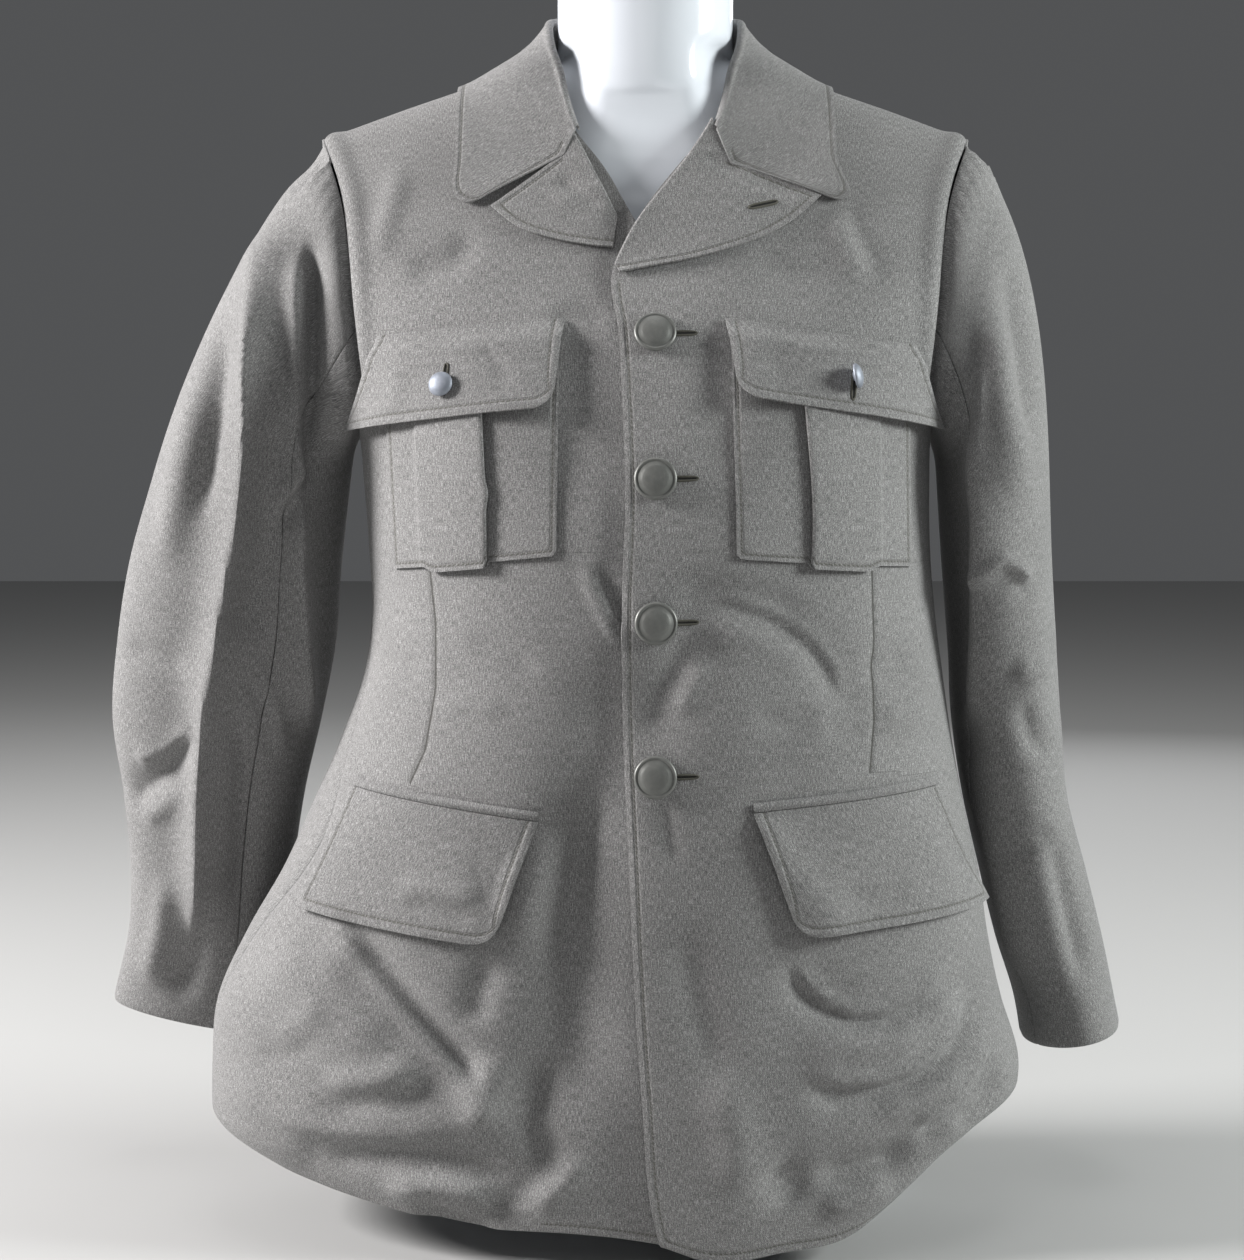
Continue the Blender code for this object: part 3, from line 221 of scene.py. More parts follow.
# %% Broad folds
# Each row: face, depth, width, line
FOLDS = (
    ("front", -0.0050, 0.018, ((-0.166, 0.172), (-0.145, 0.150), (-0.110, 0.118))),
    ("front", 0.0035, 0.016, ((-0.215, 0.165), (-0.188, 0.134), (-0.155, 0.108))),
    ("front", -0.0050, 0.024, ((-0.024, 0.330), (-0.032, 0.250), (-0.046, 0.180), (-0.062, 0.110))),
    ("front", 0.0030, 0.014, ((-0.235, 0.090), (-0.178, 0.082), (-0.106, 0.088))),
    ("front", -0.0040, 0.014, ((-0.197, 0.060), (-0.148, 0.068), (-0.080, 0.056))),
    ("front", -0.0035, 0.014, ((0.030, 0.398), (0.071, 0.387), (0.099, 0.369), (0.118, 0.338))),
    ("front", -0.0035, 0.016, ((0.027, 0.374), (0.012, 0.345), (0.007, 0.322))),
    ("front", -0.0040, 0.014, ((0.098, 0.165), (0.125, 0.149), (0.158, 0.150))),
    ("front", -0.0040, 0.014, ((0.115, 0.104), (0.155, 0.111), (0.185, 0.128), (0.197, 0.150))),
    ("front", 0.0035, 0.014, ((0.110, 0.126), (0.150, 0.130), (0.176, 0.146))),
    ("front", -0.0035, 0.014, ((0.095, 0.052), (0.130, 0.058), (0.165, 0.070))),
    ("back", -0.0050, 0.022, ((-0.110, 0.390), (-0.020, 0.372), (0.075, 0.392))),
    ("back", 0.0040, 0.020, ((-0.120, 0.345), (-0.010, 0.336), (0.110, 0.350))),
    ("back", -0.0050, 0.020, ((0.165, 0.270), (0.120, 0.180), (0.090, 0.090))),
    ("back", -0.0045, 0.022, ((-0.170, 0.280), (-0.135, 0.190), (-0.118, 0.080))),
    ("back", -0.0040, 0.024, ((-0.125, 0.560), (-0.100, 0.480), (-0.105, 0.420))),
    ("back", -0.0040, 0.022, ((0.135, 0.565), (0.108, 0.490), (0.100, 0.430))),
)

# %% Creases of the body, each of its own kind
BODY_GAIN = 2.1
SLEEVE_GAIN = 2.6
# Each row: face, kind, height, width, line
CREASES = (
    ("front", "ledge", 0.0019, 0.0090, ((-0.189, 0.206), (-0.168, 0.182), (-0.151, 0.163),
        (-0.132, 0.142), (-0.113, 0.122), (-0.094, 0.100))),
    ("front", "ridge", 0.0012, 0.0130, ((-0.200, 0.190), (-0.186, 0.168), (-0.170, 0.146), (-0.150, 0.128))),
    ("front", "trough", -0.0034, 0.0110, ((-0.063, 0.136), (-0.066, 0.112), (-0.069, 0.087),
        (-0.051, 0.051))),
    ("front", "ridge", 0.0026, 0.0110, ((-0.092, 0.130), (-0.098, 0.104), (-0.094, 0.080))),
    ("front", "ridge", 0.0022, 0.0050, ((-0.040, 0.418), (-0.026, 0.392), (-0.014, 0.366))),
    ("front", "trough", -0.0014, 0.0060, ((-0.030, 0.420), (-0.018, 0.396), (-0.010, 0.372))),
    ("front", "trough", -0.0016, 0.0080, ((-0.205, 0.091), (-0.170, 0.094), (-0.138, 0.100),
        (-0.112, 0.112))),
    ("front", "ridge", 0.0022, 0.0080, ((-0.198, 0.104), (-0.160, 0.110), (-0.130, 0.120))),
    ("front", "break", -0.0030, 0.0060, ((-0.197, 0.053), (-0.172, 0.061), (-0.148, 0.066),
        (-0.110, 0.062), (-0.076, 0.053))),
    ("front", "ridge", 0.0036, 0.0080, ((-0.160, 0.046), (-0.120, 0.048), (-0.086, 0.041))),
    ("front", "trough", -0.0028, 0.0080, ((-0.140, 0.032), (-0.112, 0.026), (-0.086, 0.022))),
    ("front", "break", -0.0028, 0.0070, ((-0.096, 0.028), (-0.081, 0.039), (-0.064, 0.056), (-0.051, 0.069))),
    ("front", "ridge", 0.0024, 0.0080, ((-0.070, 0.034), (-0.050, 0.050), (-0.036, 0.072))),
    ("front", "ridge", 0.0010, 0.0080, ((-0.228, 0.128), (-0.205, 0.140), (-0.190, 0.158))),
    ("front", "trough", -0.0009, 0.0070, ((-0.243, 0.112), (-0.214, 0.120), (-0.190, 0.128))),
    ("front", "ridge", 0.0020, 0.0070, ((-0.239, 0.084), (-0.205, 0.078), (-0.178, 0.075),
        (-0.140, 0.077), (-0.106, 0.081))),
    ("front", "trough", -0.0024, 0.0090, ((-0.030, 0.300), (-0.036, 0.258), (-0.044, 0.214),
        (-0.058, 0.170))),
    ("front", "ridge", 0.0018, 0.0100, ((-0.056, 0.270), (-0.064, 0.226), (-0.078, 0.184))),
    ("front", "trough", -0.0020, 0.0100, ((-0.090, 0.190), (-0.100, 0.165), (-0.104, 0.140))),
    ("front", "trough", -0.0034, 0.0210, ((-0.040, 0.310), (-0.046, 0.240), (-0.040, 0.160),
        (-0.036, 0.070))),
    ("front", "trough", -0.0014, 0.0180, ((-0.036, 0.585), (-0.040, 0.520), (-0.036, 0.440))),
    ("front", "trough", -0.0012, 0.0160, ((0.040, 0.580), (0.046, 0.520), (0.042, 0.450))),
    ("front", "trough", -0.0012, 0.0060, ((-0.110, 0.372), (-0.086, 0.366), (-0.060, 0.352))),
    ("front", "ridge", 0.0010, 0.0060, ((-0.128, 0.330), (-0.104, 0.334), (-0.080, 0.328))),
    ("front", "trough", -0.0011, 0.0060, ((-0.165, 0.360), (-0.150, 0.352), (-0.132, 0.352))),
    ("front", "trough", -0.0012, 0.0070, ((-0.060, 0.560), (-0.036, 0.566), (-0.022, 0.556))),
    ("front", "trough", -0.0014, 0.0090, ((-0.100, 0.616), (-0.120, 0.596), (-0.150, 0.590))),
    ("front", "ridge", 0.0012, 0.0080, ((-0.150, 0.664), (-0.158, 0.630), (-0.166, 0.596))),
    ("front", "ledge", -0.0013, 0.0060, ((0.033, 0.397), (0.052, 0.394), (0.071, 0.387), (0.086, 0.379),
        (0.099, 0.369), (0.110, 0.354), (0.118, 0.334))),
    ("front", "trough", -0.0009, 0.0060, ((0.020, 0.402), (0.050, 0.402), (0.078, 0.394), (0.102, 0.380))),
    ("front", "ridge", 0.0008, 0.0070, ((0.030, 0.382), (0.060, 0.374), (0.084, 0.362), (0.098, 0.346))),
    ("front", "break", -0.0016, 0.0050, ((0.026, 0.378), (0.016, 0.362), (0.008, 0.339), (0.003, 0.316))),
    ("front", "ridge", 0.0018, 0.0060, ((0.036, 0.364), (0.026, 0.346), (0.018, 0.326))),
    ("front", "trough", -0.0018, 0.0050, ((0.009, 0.286), (0.012, 0.262), (0.017, 0.236))),
    ("front", "trough", -0.0012, 0.0050, ((0.104, 0.317), (0.118, 0.315), (0.132, 0.318))),
    ("front", "trough", -0.0012, 0.0060, ((0.060, 0.330), (0.084, 0.322), (0.104, 0.330))),
    ("front", "ledge", -0.0022, 0.0070, ((0.082, 0.184), (0.093, 0.167), (0.106, 0.155), (0.122, 0.148),
        (0.142, 0.147), (0.168, 0.156), (0.190, 0.172))),
    ("front", "ridge", 0.0012, 0.0080, ((0.104, 0.140), (0.126, 0.132), (0.150, 0.134), (0.172, 0.146))),
    ("front", "ledge", -0.0026, 0.0080, ((0.090, 0.112), (0.116, 0.106), (0.138, 0.106), (0.160, 0.111),
        (0.178, 0.120), (0.191, 0.133), (0.198, 0.154))),
    ("front", "ridge", 0.0018, 0.0090, ((0.130, 0.090), (0.156, 0.094), (0.180, 0.104), (0.198, 0.122))),
    ("front", "ledge", -0.0022, 0.0070, ((0.160, 0.076), (0.182, 0.087), (0.198, 0.100), (0.213, 0.120))),
    ("front", "trough", -0.0024, 0.0070, ((0.186, 0.072), (0.204, 0.086), (0.218, 0.104))),
    ("front", "trough", -0.0030, 0.0100, ((0.096, 0.050), (0.118, 0.054), (0.140, 0.058), (0.166, 0.066))),
    ("front", "ridge", 0.0024, 0.0090, ((0.100, 0.034), (0.126, 0.038), (0.150, 0.048))),
    ("front", "trough", -0.0026, 0.0130, ((0.070, 0.062), (0.082, 0.050), (0.090, 0.034))),
    ("front", "ridge", 0.0020, 0.0140, ((0.040, 0.120), (0.052, 0.080), (0.056, 0.040))),
    ("front", "trough", -0.0018, 0.0120, ((0.020, 0.210), (0.030, 0.160), (0.044, 0.110))),
    ("front", "break", -0.0016, 0.0050, ((0.124, 0.640), (0.130, 0.618), (0.138, 0.600), (0.146, 0.582))),
    ("front", "ridge", 0.0016, 0.0080, ((0.112, 0.628), (0.122, 0.604), (0.132, 0.584))),
    ("front", "trough", -0.0010, 0.0070, ((0.060, 0.596), (0.090, 0.590), (0.118, 0.596))),
    ("front", "trough", -0.0012, 0.0090, ((0.160, 0.360), (0.146, 0.352), (0.126, 0.356))),
    ("front", "ridge", 0.0014, 0.0090, ((0.176, 0.330), (0.156, 0.322), (0.136, 0.326))),
    ("back", "trough", -0.0030, 0.0110, ((-0.130, 0.400), (-0.080, 0.386), (-0.020, 0.378),
        (0.040, 0.384), (0.090, 0.400))),
    ("back", "ridge", 0.0026, 0.0100, ((-0.110, 0.372), (-0.050, 0.356), (0.020, 0.352), (0.070, 0.366))),
    ("back", "step", 0.0022, 0.0080, ((-0.150, 0.430), (-0.118, 0.414), (-0.074, 0.408))),
    ("back", "step", 0.0024, 0.0080, ((0.150, 0.440), (0.116, 0.418), (0.066, 0.412))),
    ("back", "break", -0.0020, 0.0060, ((-0.060, 0.340), (-0.020, 0.330), (0.030, 0.334))),
    ("back", "trough", -0.0026, 0.0110, ((-0.156, 0.330), (-0.140, 0.260), (-0.128, 0.190), (-0.120, 0.110))),
    ("back", "ridge", 0.0024, 0.0120, ((-0.120, 0.300), (-0.100, 0.220), (-0.092, 0.130))),
    ("back", "trough", -0.0028, 0.0120, ((0.162, 0.310), (0.140, 0.230), (0.112, 0.150), (0.098, 0.080))),
    ("back", "ridge", 0.0022, 0.0120, ((0.120, 0.290), (0.096, 0.210), (0.070, 0.120))),
    ("back", "trough", -0.0018, 0.0130, ((0.020, 0.280), (0.012, 0.200), (-0.004, 0.110))),
    ("back", "trough", -0.0022, 0.0120, ((-0.150, 0.610), (-0.124, 0.570), (-0.108, 0.520), (-0.104, 0.470))),
    ("back", "ridge", 0.0018, 0.0110, ((-0.128, 0.620), (-0.100, 0.580), (-0.082, 0.520))),
    ("back", "trough", -0.0022, 0.0120, ((0.154, 0.610), (0.130, 0.565), (0.114, 0.515), (0.106, 0.460))),
    ("back", "ridge", 0.0018, 0.0110, ((0.132, 0.626), (0.106, 0.584), (0.086, 0.524))),
    ("back", "trough", -0.0014, 0.0090, ((-0.070, 0.664), (-0.020, 0.654), (0.040, 0.660))),
    ("back", "trough", -0.0020, 0.0080, ((-0.170, 0.140), (-0.140, 0.120), (-0.104, 0.116))),
    ("back", "trough", -0.0022, 0.0080, ((0.186, 0.150), (0.158, 0.124), (0.120, 0.112))),
)
print("creases of the body", len(CREASES))

# %% Reading tables along a smooth curve
def smooth(rows, column, x):
    """Reads one column of a table at x, along a smooth curve through its rows."""
    table = np.array(rows, float)
    xs, ys = table[:, 0], table[:, column]
    slopes = np.gradient(ys, xs)
    x = np.clip(np.asarray(x, float), xs[0], xs[-1])
    i = np.clip(np.searchsorted(xs, x) - 1, 0, len(xs) - 2)
    step = xs[i + 1] - xs[i]
    t = (x - xs[i]) / step
    start = (2 * t**3 - 3 * t**2 + 1) * ys[i] + (t**3 - 2 * t**2 + t) * step * slopes[i]
    return start + (3 * t**2 - 2 * t**3) * ys[i + 1] + (t**3 - t**2) * step * slopes[i + 1]


def ease(low, high, x):
    """Goes smoothly from 0 at low to 1 at high."""
    t = np.clip((np.asarray(x, float) - low) / (high - low), 0, 1)
    return t * t * (3 - 2 * t)


def hump(away, wide):
    """A soft bump of height 1 where away is 0."""
    return np.exp(-((away / wide) ** 2))


def unit(v):
    v = np.asarray(v, float)
    return v / np.maximum(np.linalg.norm(v, axis=-1, keepdims=True), 1e-12)

# %% The torso surface, from a place seen from the front or the back
def half_width(x, z):
    left = smooth(SECTIONS, SECTION_COLUMNS.index("left"), z)
    right = smooth(SECTIONS, SECTION_COLUMNS.index("right"), z)
    return np.where(np.asarray(x) >= 0, left, right)


def middle_y(z):
    return smooth(SECTIONS, SECTION_COLUMNS.index("middle"), z)


def shoulder_z(x):
    return smooth(SHOULDER, 1, np.abs(x))


def fullness(x, z):
    """How deep the torso is at a place seen from the front: 1 in the middle, 0 on its outline."""
    across = np.clip(np.abs(x) / half_width(x, z), 0, 1) ** SQUARENESS
    up = np.clip((np.asarray(z) - SHOULDER_FROM) / (shoulder_z(x) - SHOULDER_FROM), 0, 1)
    return ((1 - across) * (1 - up**SHOULDER_ROUND)) ** (1 / SQUARENESS)


def front_y(x, z):
    deep = smooth(SECTIONS, SECTION_COLUMNS.index("front"), z)
    return middle_y(z) + (deep - middle_y(z)) * fullness(x, z)


def back_y(x, z):
    deep = smooth(SECTIONS, SECTION_COLUMNS.index("back"), z)
    return middle_y(z) + (deep - middle_y(z)) * fullness(x, z)


def body_point(face, x, z):
    y = front_y(x, z) if face == "front" else back_y(x, z)
    return np.stack(np.broadcast_arrays(x, y, z), axis=-1).astype(float)

# %% The direction that the torso surface faces
def body_level(p):
    """Rises outwards through the torso surface, so its slope gives the surface's normal."""
    x, y, z = p[..., 0], p[..., 1], p[..., 2]
    front = smooth(SECTIONS, SECTION_COLUMNS.index("front"), z)
    back = smooth(SECTIONS, SECTION_COLUMNS.index("back"), z)
    mid = middle_y(z)
    deep = np.where(y < mid, mid - front, back - mid)
    across = (np.abs(x) / half_width(x, z)) ** SQUARENESS
    up = np.clip((z - SHOULDER_FROM) / (shoulder_z(x) - SHOULDER_FROM), 0, 1.2) ** SHOULDER_ROUND
    return (np.abs(y - mid) / deep) ** SQUARENESS - (1 - across) * (1 - up)


def body_normal(p):
    step = 0.0006
    slopes = [body_level(p + step * axis) - body_level(p - step * axis) for axis in np.eye(3)]
    return unit(np.stack(slopes, axis=-1))

# %% [markdown]
# A fold is worked out from how far a place lies from the fold's line.
# A trough or ridge is a soft bell, and a break or crest is sharp along its line.
# A step or ledge is high on one side and low on the other, as where cloth is pulled to one side.

# %% The height of the folds at a place
def line_distance(line, x, z):
    best = np.full(np.broadcast(x, z).shape, 1.0)
    for (ax, az), (bx, bz) in zip(line, line[1:]):
        dx, dz = bx - ax, bz - az
        t = np.clip(((x - ax) * dx + (z - az) * dz) / (dx * dx + dz * dz), 0, 1)
        best = np.minimum(best, np.hypot(x - ax - t * dx, z - az - t * dz))
    return best


def line_place(line, x, z):
    """The signed distance from a line, and how far along it the nearest place is, from 0 to 1."""
    points = np.array(line, float)
    legs = np.hypot(*(points[1:] - points[:-1]).T)
    best = np.full(np.broadcast(x, z).shape, 1.0)
    signed, along = best.copy(), np.zeros(best.shape)
    done = 0.0
    for (ax, az), (bx, bz), leg in zip(points, points[1:], legs):
        dx, dz = (bx - ax) / leg, (bz - az) / leg
        reach = np.clip((x - ax) * dx + (z - az) * dz, 0, leg)
        away = np.hypot(x - ax - reach * dx, z - az - reach * dz)
        near = away < best
        side = np.where((x - ax) * dz - (z - az) * dx >= 0, 1.0, -1.0)
        signed = np.where(near, away * side, signed)
        along = np.where(near, (done + reach) / legs.sum(), along)
        best = np.minimum(best, away)
        done += leg
    return signed, along


def crease_shape(kind, height, away):
    """The height of a crease across its line, where away counts its own width as 1."""
    if kind == "break":
        return height * np.exp(-np.abs(away) * 1.2) * (1 - 0.35 * np.exp(-(away**2) * 8))
    if kind == "step":
        return height * 1.65 * away * np.exp(-(away**2))
    if kind == "ledge":
        return height * 1.10 * np.tanh(away * 2.8) * np.exp(-(away**2) * 0.6)
    if kind == "crest":
        return height * 1.27 * np.exp(-np.sqrt(away**2 + 0.03) * 1.4)
    return height * np.exp(-(away**2))


def crease_depth(creases, face, x, z, gain=1.0):
    """The creases of a face; gain deepens the wide ones fully and the narrow ones least."""
    total = np.zeros(np.broadcast(x, z).shape)
    for crease_face, kind, height, width, line in creases:
        if crease_face == face:
            signed, along = line_place(line, x, z)
            soft = 0.18 if kind in ("break", "ledge", "crest") else 0.30
            fade = ease(0, soft, along) * (1 - ease(1 - soft, 1, along))
            deeper = np.interp(width, (0.004, 0.009), (min(1.0, gain), gain))
            total += deeper * crease_shape(kind, height, signed / width) * fade
    return total


def plain_fold_depth(folds, face, x, z):
    """How far the folds of a face raise or sink a place."""
    total = np.zeros(np.broadcast(x, z).shape)
    for fold_face, depth, width, line in folds:
        if fold_face == face:
            total = total + depth * hump(line_distance(line, x, z), width)
    return total


def fold_depth(folds, face, x, z):
    """The broad folds of a face with its creases, for the cloth and for all that lies on it."""
    creases, gain = (CREASES, BODY_GAIN) if folds is FOLDS else (SLEEVE_CREASES, SLEEVE_GAIN)
    return plain_fold_depth(folds, face, x, z) + crease_depth(creases, face, x, z, gain)


def lap_lift(side, x, z):
    """The left front passes over the right one, which is tucked in a little under it."""
    over = LAP_OVER * (1 - ease(LAP_FLAT, LAP_END, x))
    under = -LAP_TUCK * ease(*LAP_TUCK_FROM, x)
    return (over if side == LEFT else under) * (1 - ease(*LAP_FADE, z))

# %% [markdown]
# ## A wall of cloth
# Each panel starts as a flat grid primitive. Its vertices then move to their places on the body.
# A Solidify modifier turns the sheet into a wall, which is what gives hems and edges their body.
# The weave has to follow the cloth, so the grid's UV map is written in metres of cloth.
# Each vertex also keeps how far it lies from a stitched edge, which the material turns into stitching.

# %% Helpers for one panel of cloth
EDGE_FAR = 0.05


def spread(rows):
    """The length from the first column to each point, along the rows of a grid."""
    steps = np.linalg.norm(np.diff(rows, axis=1), axis=-1)
    return np.concatenate([np.zeros((len(rows), 1)), np.cumsum(steps, axis=1)], axis=1)


def edge_lengths(points):
    """How far each point of a grid lies from its four edges, measured over the cloth."""
    across, along = spread(points), spread(points.swapaxes(0, 1)).T
    return {
        "first_column": across,
        "last_column": across[:, -1:] - across,
        "first_row": along,
        "last_row": along[-1:] - along,
    }


def grid_normals(points, outward):
    """The normals of a grid, turned to the side that a guide direction points to."""
    n = unit(np.cross(np.gradient(points, axis=1), np.gradient(points, axis=0)))
    flip = np.sign(np.sum(n * outward, axis=-1, keepdims=True))
    return n * np.where(flip == 0, 1, flip)


def draw_in(points, edges):
    """Moves the named edges of a grid in by half a seam's gap."""
    points = points.copy()
    for edge in edges:
        row = {"first_row": 0, "last_row": -1}.get(edge)
        column = {"first_column": 0, "last_column": -1}.get(edge)
        if row is not None:
            near = points[1] if row == 0 else points[-2]
            points[row] += unit(near - points[row]) * SEAM_GAP / 2
        if column is not None:
            near = points[:, 1] if column == 0 else points[:, -2]
            points[:, column] += unit(near - points[:, column]) * SEAM_GAP / 2
    return points

# %% Making the panel
def select_only(piece):
    bpy.ops.object.select_all(action="DESELECT")
    piece.select_set(True)
    bpy.context.view_layer.objects.active = piece


def apply_all(piece):
    select_only(piece)
    for modifier in list(piece.modifiers):
        bpy.ops.object.modifier_apply(modifier=modifier.name)


def note(piece, name, values):
    """Keeps one number for each vertex, for a material to read."""
    attribute = piece.data.attributes.new(name, "FLOAT", "POINT")
    attribute.data.foreach_set("value", np.ascontiguousarray(values, dtype=np.float32).ravel())


def write_uv(piece, places):
    """Sets the UV map from one place for each vertex."""
    mesh = piece.data
    corners = np.empty(len(mesh.loops), dtype=np.int32)
    mesh.loops.foreach_get("vertex_index", corners)
    mesh.uv_layers[0].data.foreach_set("uv", places[corners].astype(np.float32).ravel())


YOKE_GRAIN = (0.36, 0.68)
SHOULDER_GRAIN = (0.60, 0.68)
SLEEVE_GRAIN = (0.19, 0.21)
CHEST_DEPTH = 0.075
BACK_DEPTH = 0.118


def weave(outer, lengths, origin="middle"):
    """The place of each point in the cloth: across the grain, then up it."""
    across = lengths["first_column"]
    if origin == "middle":
        across = across - across[:, across.shape[1] // 2, None]
    if origin != "middle" or abs(outer[0, 0, 0] + outer[0, -1, 0]) < 0.05:
        sign = np.sign(outer[:, -1, 0] - outer[:, 0, 0])[:, None]
        yoke = ease(*YOKE_GRAIN, outer[..., 2])
        across = across + (sign * (outer[..., 0] - outer[:1, :1, 0] * (origin != "middle")) - across) * yoke
    on_body = 1 - ease(*SLEEVE_GRAIN, np.abs(outer[..., 0]))
    on_shoulder = ease(*SHOULDER_GRAIN, outer[..., 2]) * on_body
    depth = CHEST_DEPTH if outer[..., 1].mean() < 0 else BACK_DEPTH
    up = outer[..., 2] + (depth - np.abs(outer[..., 1])) * on_shoulder
    return np.stack([across, up], -1)


def panel(name, outer, outward, thickness, material, stitched=(), marks=None, round_edges=True, grain=None):
    """A wall of cloth from a grid of outer points; stitched names the edges that carry a stitch line."""
    rows, columns = outer.shape[:2]
    bpy.ops.object.select_all(action="DESELECT")
    bpy.ops.mesh.primitive_grid_add(x_subdivisions=columns - 1, y_subdivisions=rows - 1, size=1)
    piece = bpy.context.active_object
    piece.name = piece.data.name = name
    lengths = edge_lengths(outer)
    place = weave(outer, lengths) if grain is None else grain
    piece.data.vertices.foreach_set("co", outer.astype(np.float32).ravel())
    write_uv(piece, place.reshape(-1, 2))
    edge = np.full((rows, columns), EDGE_FAR)
    for word in stitched:
        edge = np.minimum(edge, lengths[word])
    for word, values in ({"edge": edge, "dart": np.full((rows, columns), EDGE_FAR)} | (marks or {})).items():
        note(piece, word, values)
    piece.data.update()
    normals = np.empty(rows * columns * 3, dtype=np.float32)
    piece.data.vertices.foreach_get("normal", normals)
    if np.sum(normals.reshape(rows, columns, 3) * outward) < 0:
        piece.data.flip_normals()
    wall = piece.modifiers.new("wall", "SOLIDIFY")
    wall.thickness = thickness
    wall.offset = -1
    apply_all(piece)
    if round_edges:
        soften(piece, thickness)
    select_only(piece)
    bpy.ops.object.shade_smooth_by_angle(angle=math.radians(55))
    piece.data.materials.clear()
    piece.data.materials.append(material)
    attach(piece, "root")
    print(name, "has", len(piece.data.polygons), "faces")
    return piece


def soften(piece, thickness):
    """Rounds the cut edges of a wall with a small bevel along their sharp lines."""
    bevel = piece.modifiers.new("edge", "BEVEL")
    bevel.width = thickness * 0.3
    bevel.segments = 2
    bevel.limit_method = "ANGLE"
    bevel.angle_limit = math.radians(60)
    apply_all(piece)

# %% [markdown]
# ## Materials as sums
# A material here is worked out with ordinary sums, so that its recipe can be read.
# One small class wraps a socket, and each operator on it adds the Math node that does the sum.
# Any other node comes from one method that takes its type, its settings and its sockets.

# %% A number in a material
class Value:
    """One socket's number; sums on it add Math nodes."""

    def __init__(self, finish, socket):
        self.finish, self.socket = finish, socket

    def maths(self, operation, *others):
        return self.finish.node("ShaderNodeMath", {"operation": operation}, dict(enumerate((self, *others))))

    def __add__(self, other):
        return self.maths("ADD", other)

    def __sub__(self, other):
        return self.maths("SUBTRACT", other)

    def __rsub__(self, other):
        return self.maths("MULTIPLY", -1.0) + other

    def __mul__(self, other):
        return self.maths("MULTIPLY", other)

    def __truediv__(self, other):
        return self.maths("DIVIDE", other)

    __radd__ = __add__
    __rmul__ = __mul__

    def size(self):
        return self.maths("ABSOLUTE")

    def wave(self):
        return self.maths("SINE")

    def rise(self, low, high):
        """Goes smoothly from 0 at low to 1 at high."""
        settings = {"interpolation_type": "SMOOTHSTEP"}
        return self.finish.node("ShaderNodeMapRange", settings, {0: self, 1: low, 2: high, 3: 0.0, 4: 1.0})


# %% A material and its nodes
class Finish:
    def __init__(self, name, roughness, **constants):
        self.material = bpy.data.materials.new(name)
        self.material.use_nodes = True
        self.tree = self.material.node_tree
        self.shader = self.tree.nodes["Principled BSDF"]
        self.shader.inputs["Roughness"].default_value = roughness
        for words, value in constants.items():
            self.shader.inputs[words.replace("_", " ").title()].default_value = value

    def node(self, kind, settings, sockets, out=0):
        """Adds a node: its settings first, then the values or links of its sockets."""
        made = self.tree.nodes.new(kind)
        for name, value in settings.items():
            if name == "stops":
                while len(made.color_ramp.elements) < len(value):
                    made.color_ramp.elements.new(0.5)
                for stop, (place, colour) in zip(made.color_ramp.elements, value):
                    stop.position, stop.color = place, (*colour, 1)
            else:
                setattr(made, name, value)
        for name, value in sockets.items():
            self.put(made.inputs[name], value)
        return Value(self, made.outputs[out])

    def put(self, socket, value):
        if isinstance(value, Value):
            self.tree.links.new(value.socket, socket)
        else:
            socket.default_value = value

    def mix(self, share, one, other):
        """A colour between two, by a share from 0 to 1."""
        return self.node("ShaderNodeMix", {"data_type": "RGBA"}, {0: share, 6: one, 7: other}, out=2)

    def stretch(self, place, across, along, depth=1.0):
        """A place with its three numbers made larger, which makes a pattern on it smaller."""
        return self.node("ShaderNodeMapping", {}, {"Vector": place, "Scale": (across, along, depth)})

    def noise(self, place, scale, detail=2.0, roughness=0.5):
        sockets = {"Vector": place, "Scale": scale, "Detail": detail, "Roughness": roughness}
        return self.node("ShaderNodeTexNoise", {}, sockets)

    def colour(self, value):
        self.put(self.shader.inputs["Base Color"], value)

    def gloss(self, value):
        self.put(self.shader.inputs["Roughness"], value)

    def relief(self, height, strength, distance):
        sockets = {"Height": height, "Strength": strength, "Distance": distance}
        self.put(self.shader.inputs["Normal"], self.node("ShaderNodeBump", {}, sockets))


# %% [markdown]
# ## The wool
# The cloth is a heavy twill, woven from dark and pale fibres, so it looks like salt and pepper.
# Flecks of about a millimetre, and longer streaks up the grain, give that look from a step away.
# Fine diagonal ribs show only from close by, so they are left to the bump.
# Stitching runs at a set distance from an edge, read from the number kept with each vertex.

# %% Wool twill
DARK_WOOL = (0.075, 0.074, 0.074)
MID_WOOL = (0.195, 0.193, 0.191)
PALE_WOOL = (0.425, 0.420, 0.416)
THREAD = (0.070, 0.068, 0.056, 1)
GROOVE_SHADE = (0.075, 0.072, 0.060, 1)
SEAM_SHADE = (0.030, 0.029, 0.024, 1)
STITCH_INSET = 0.006
STITCH_LONG = 0.0030
RIB = 0.0012
TURN = 2 * math.pi


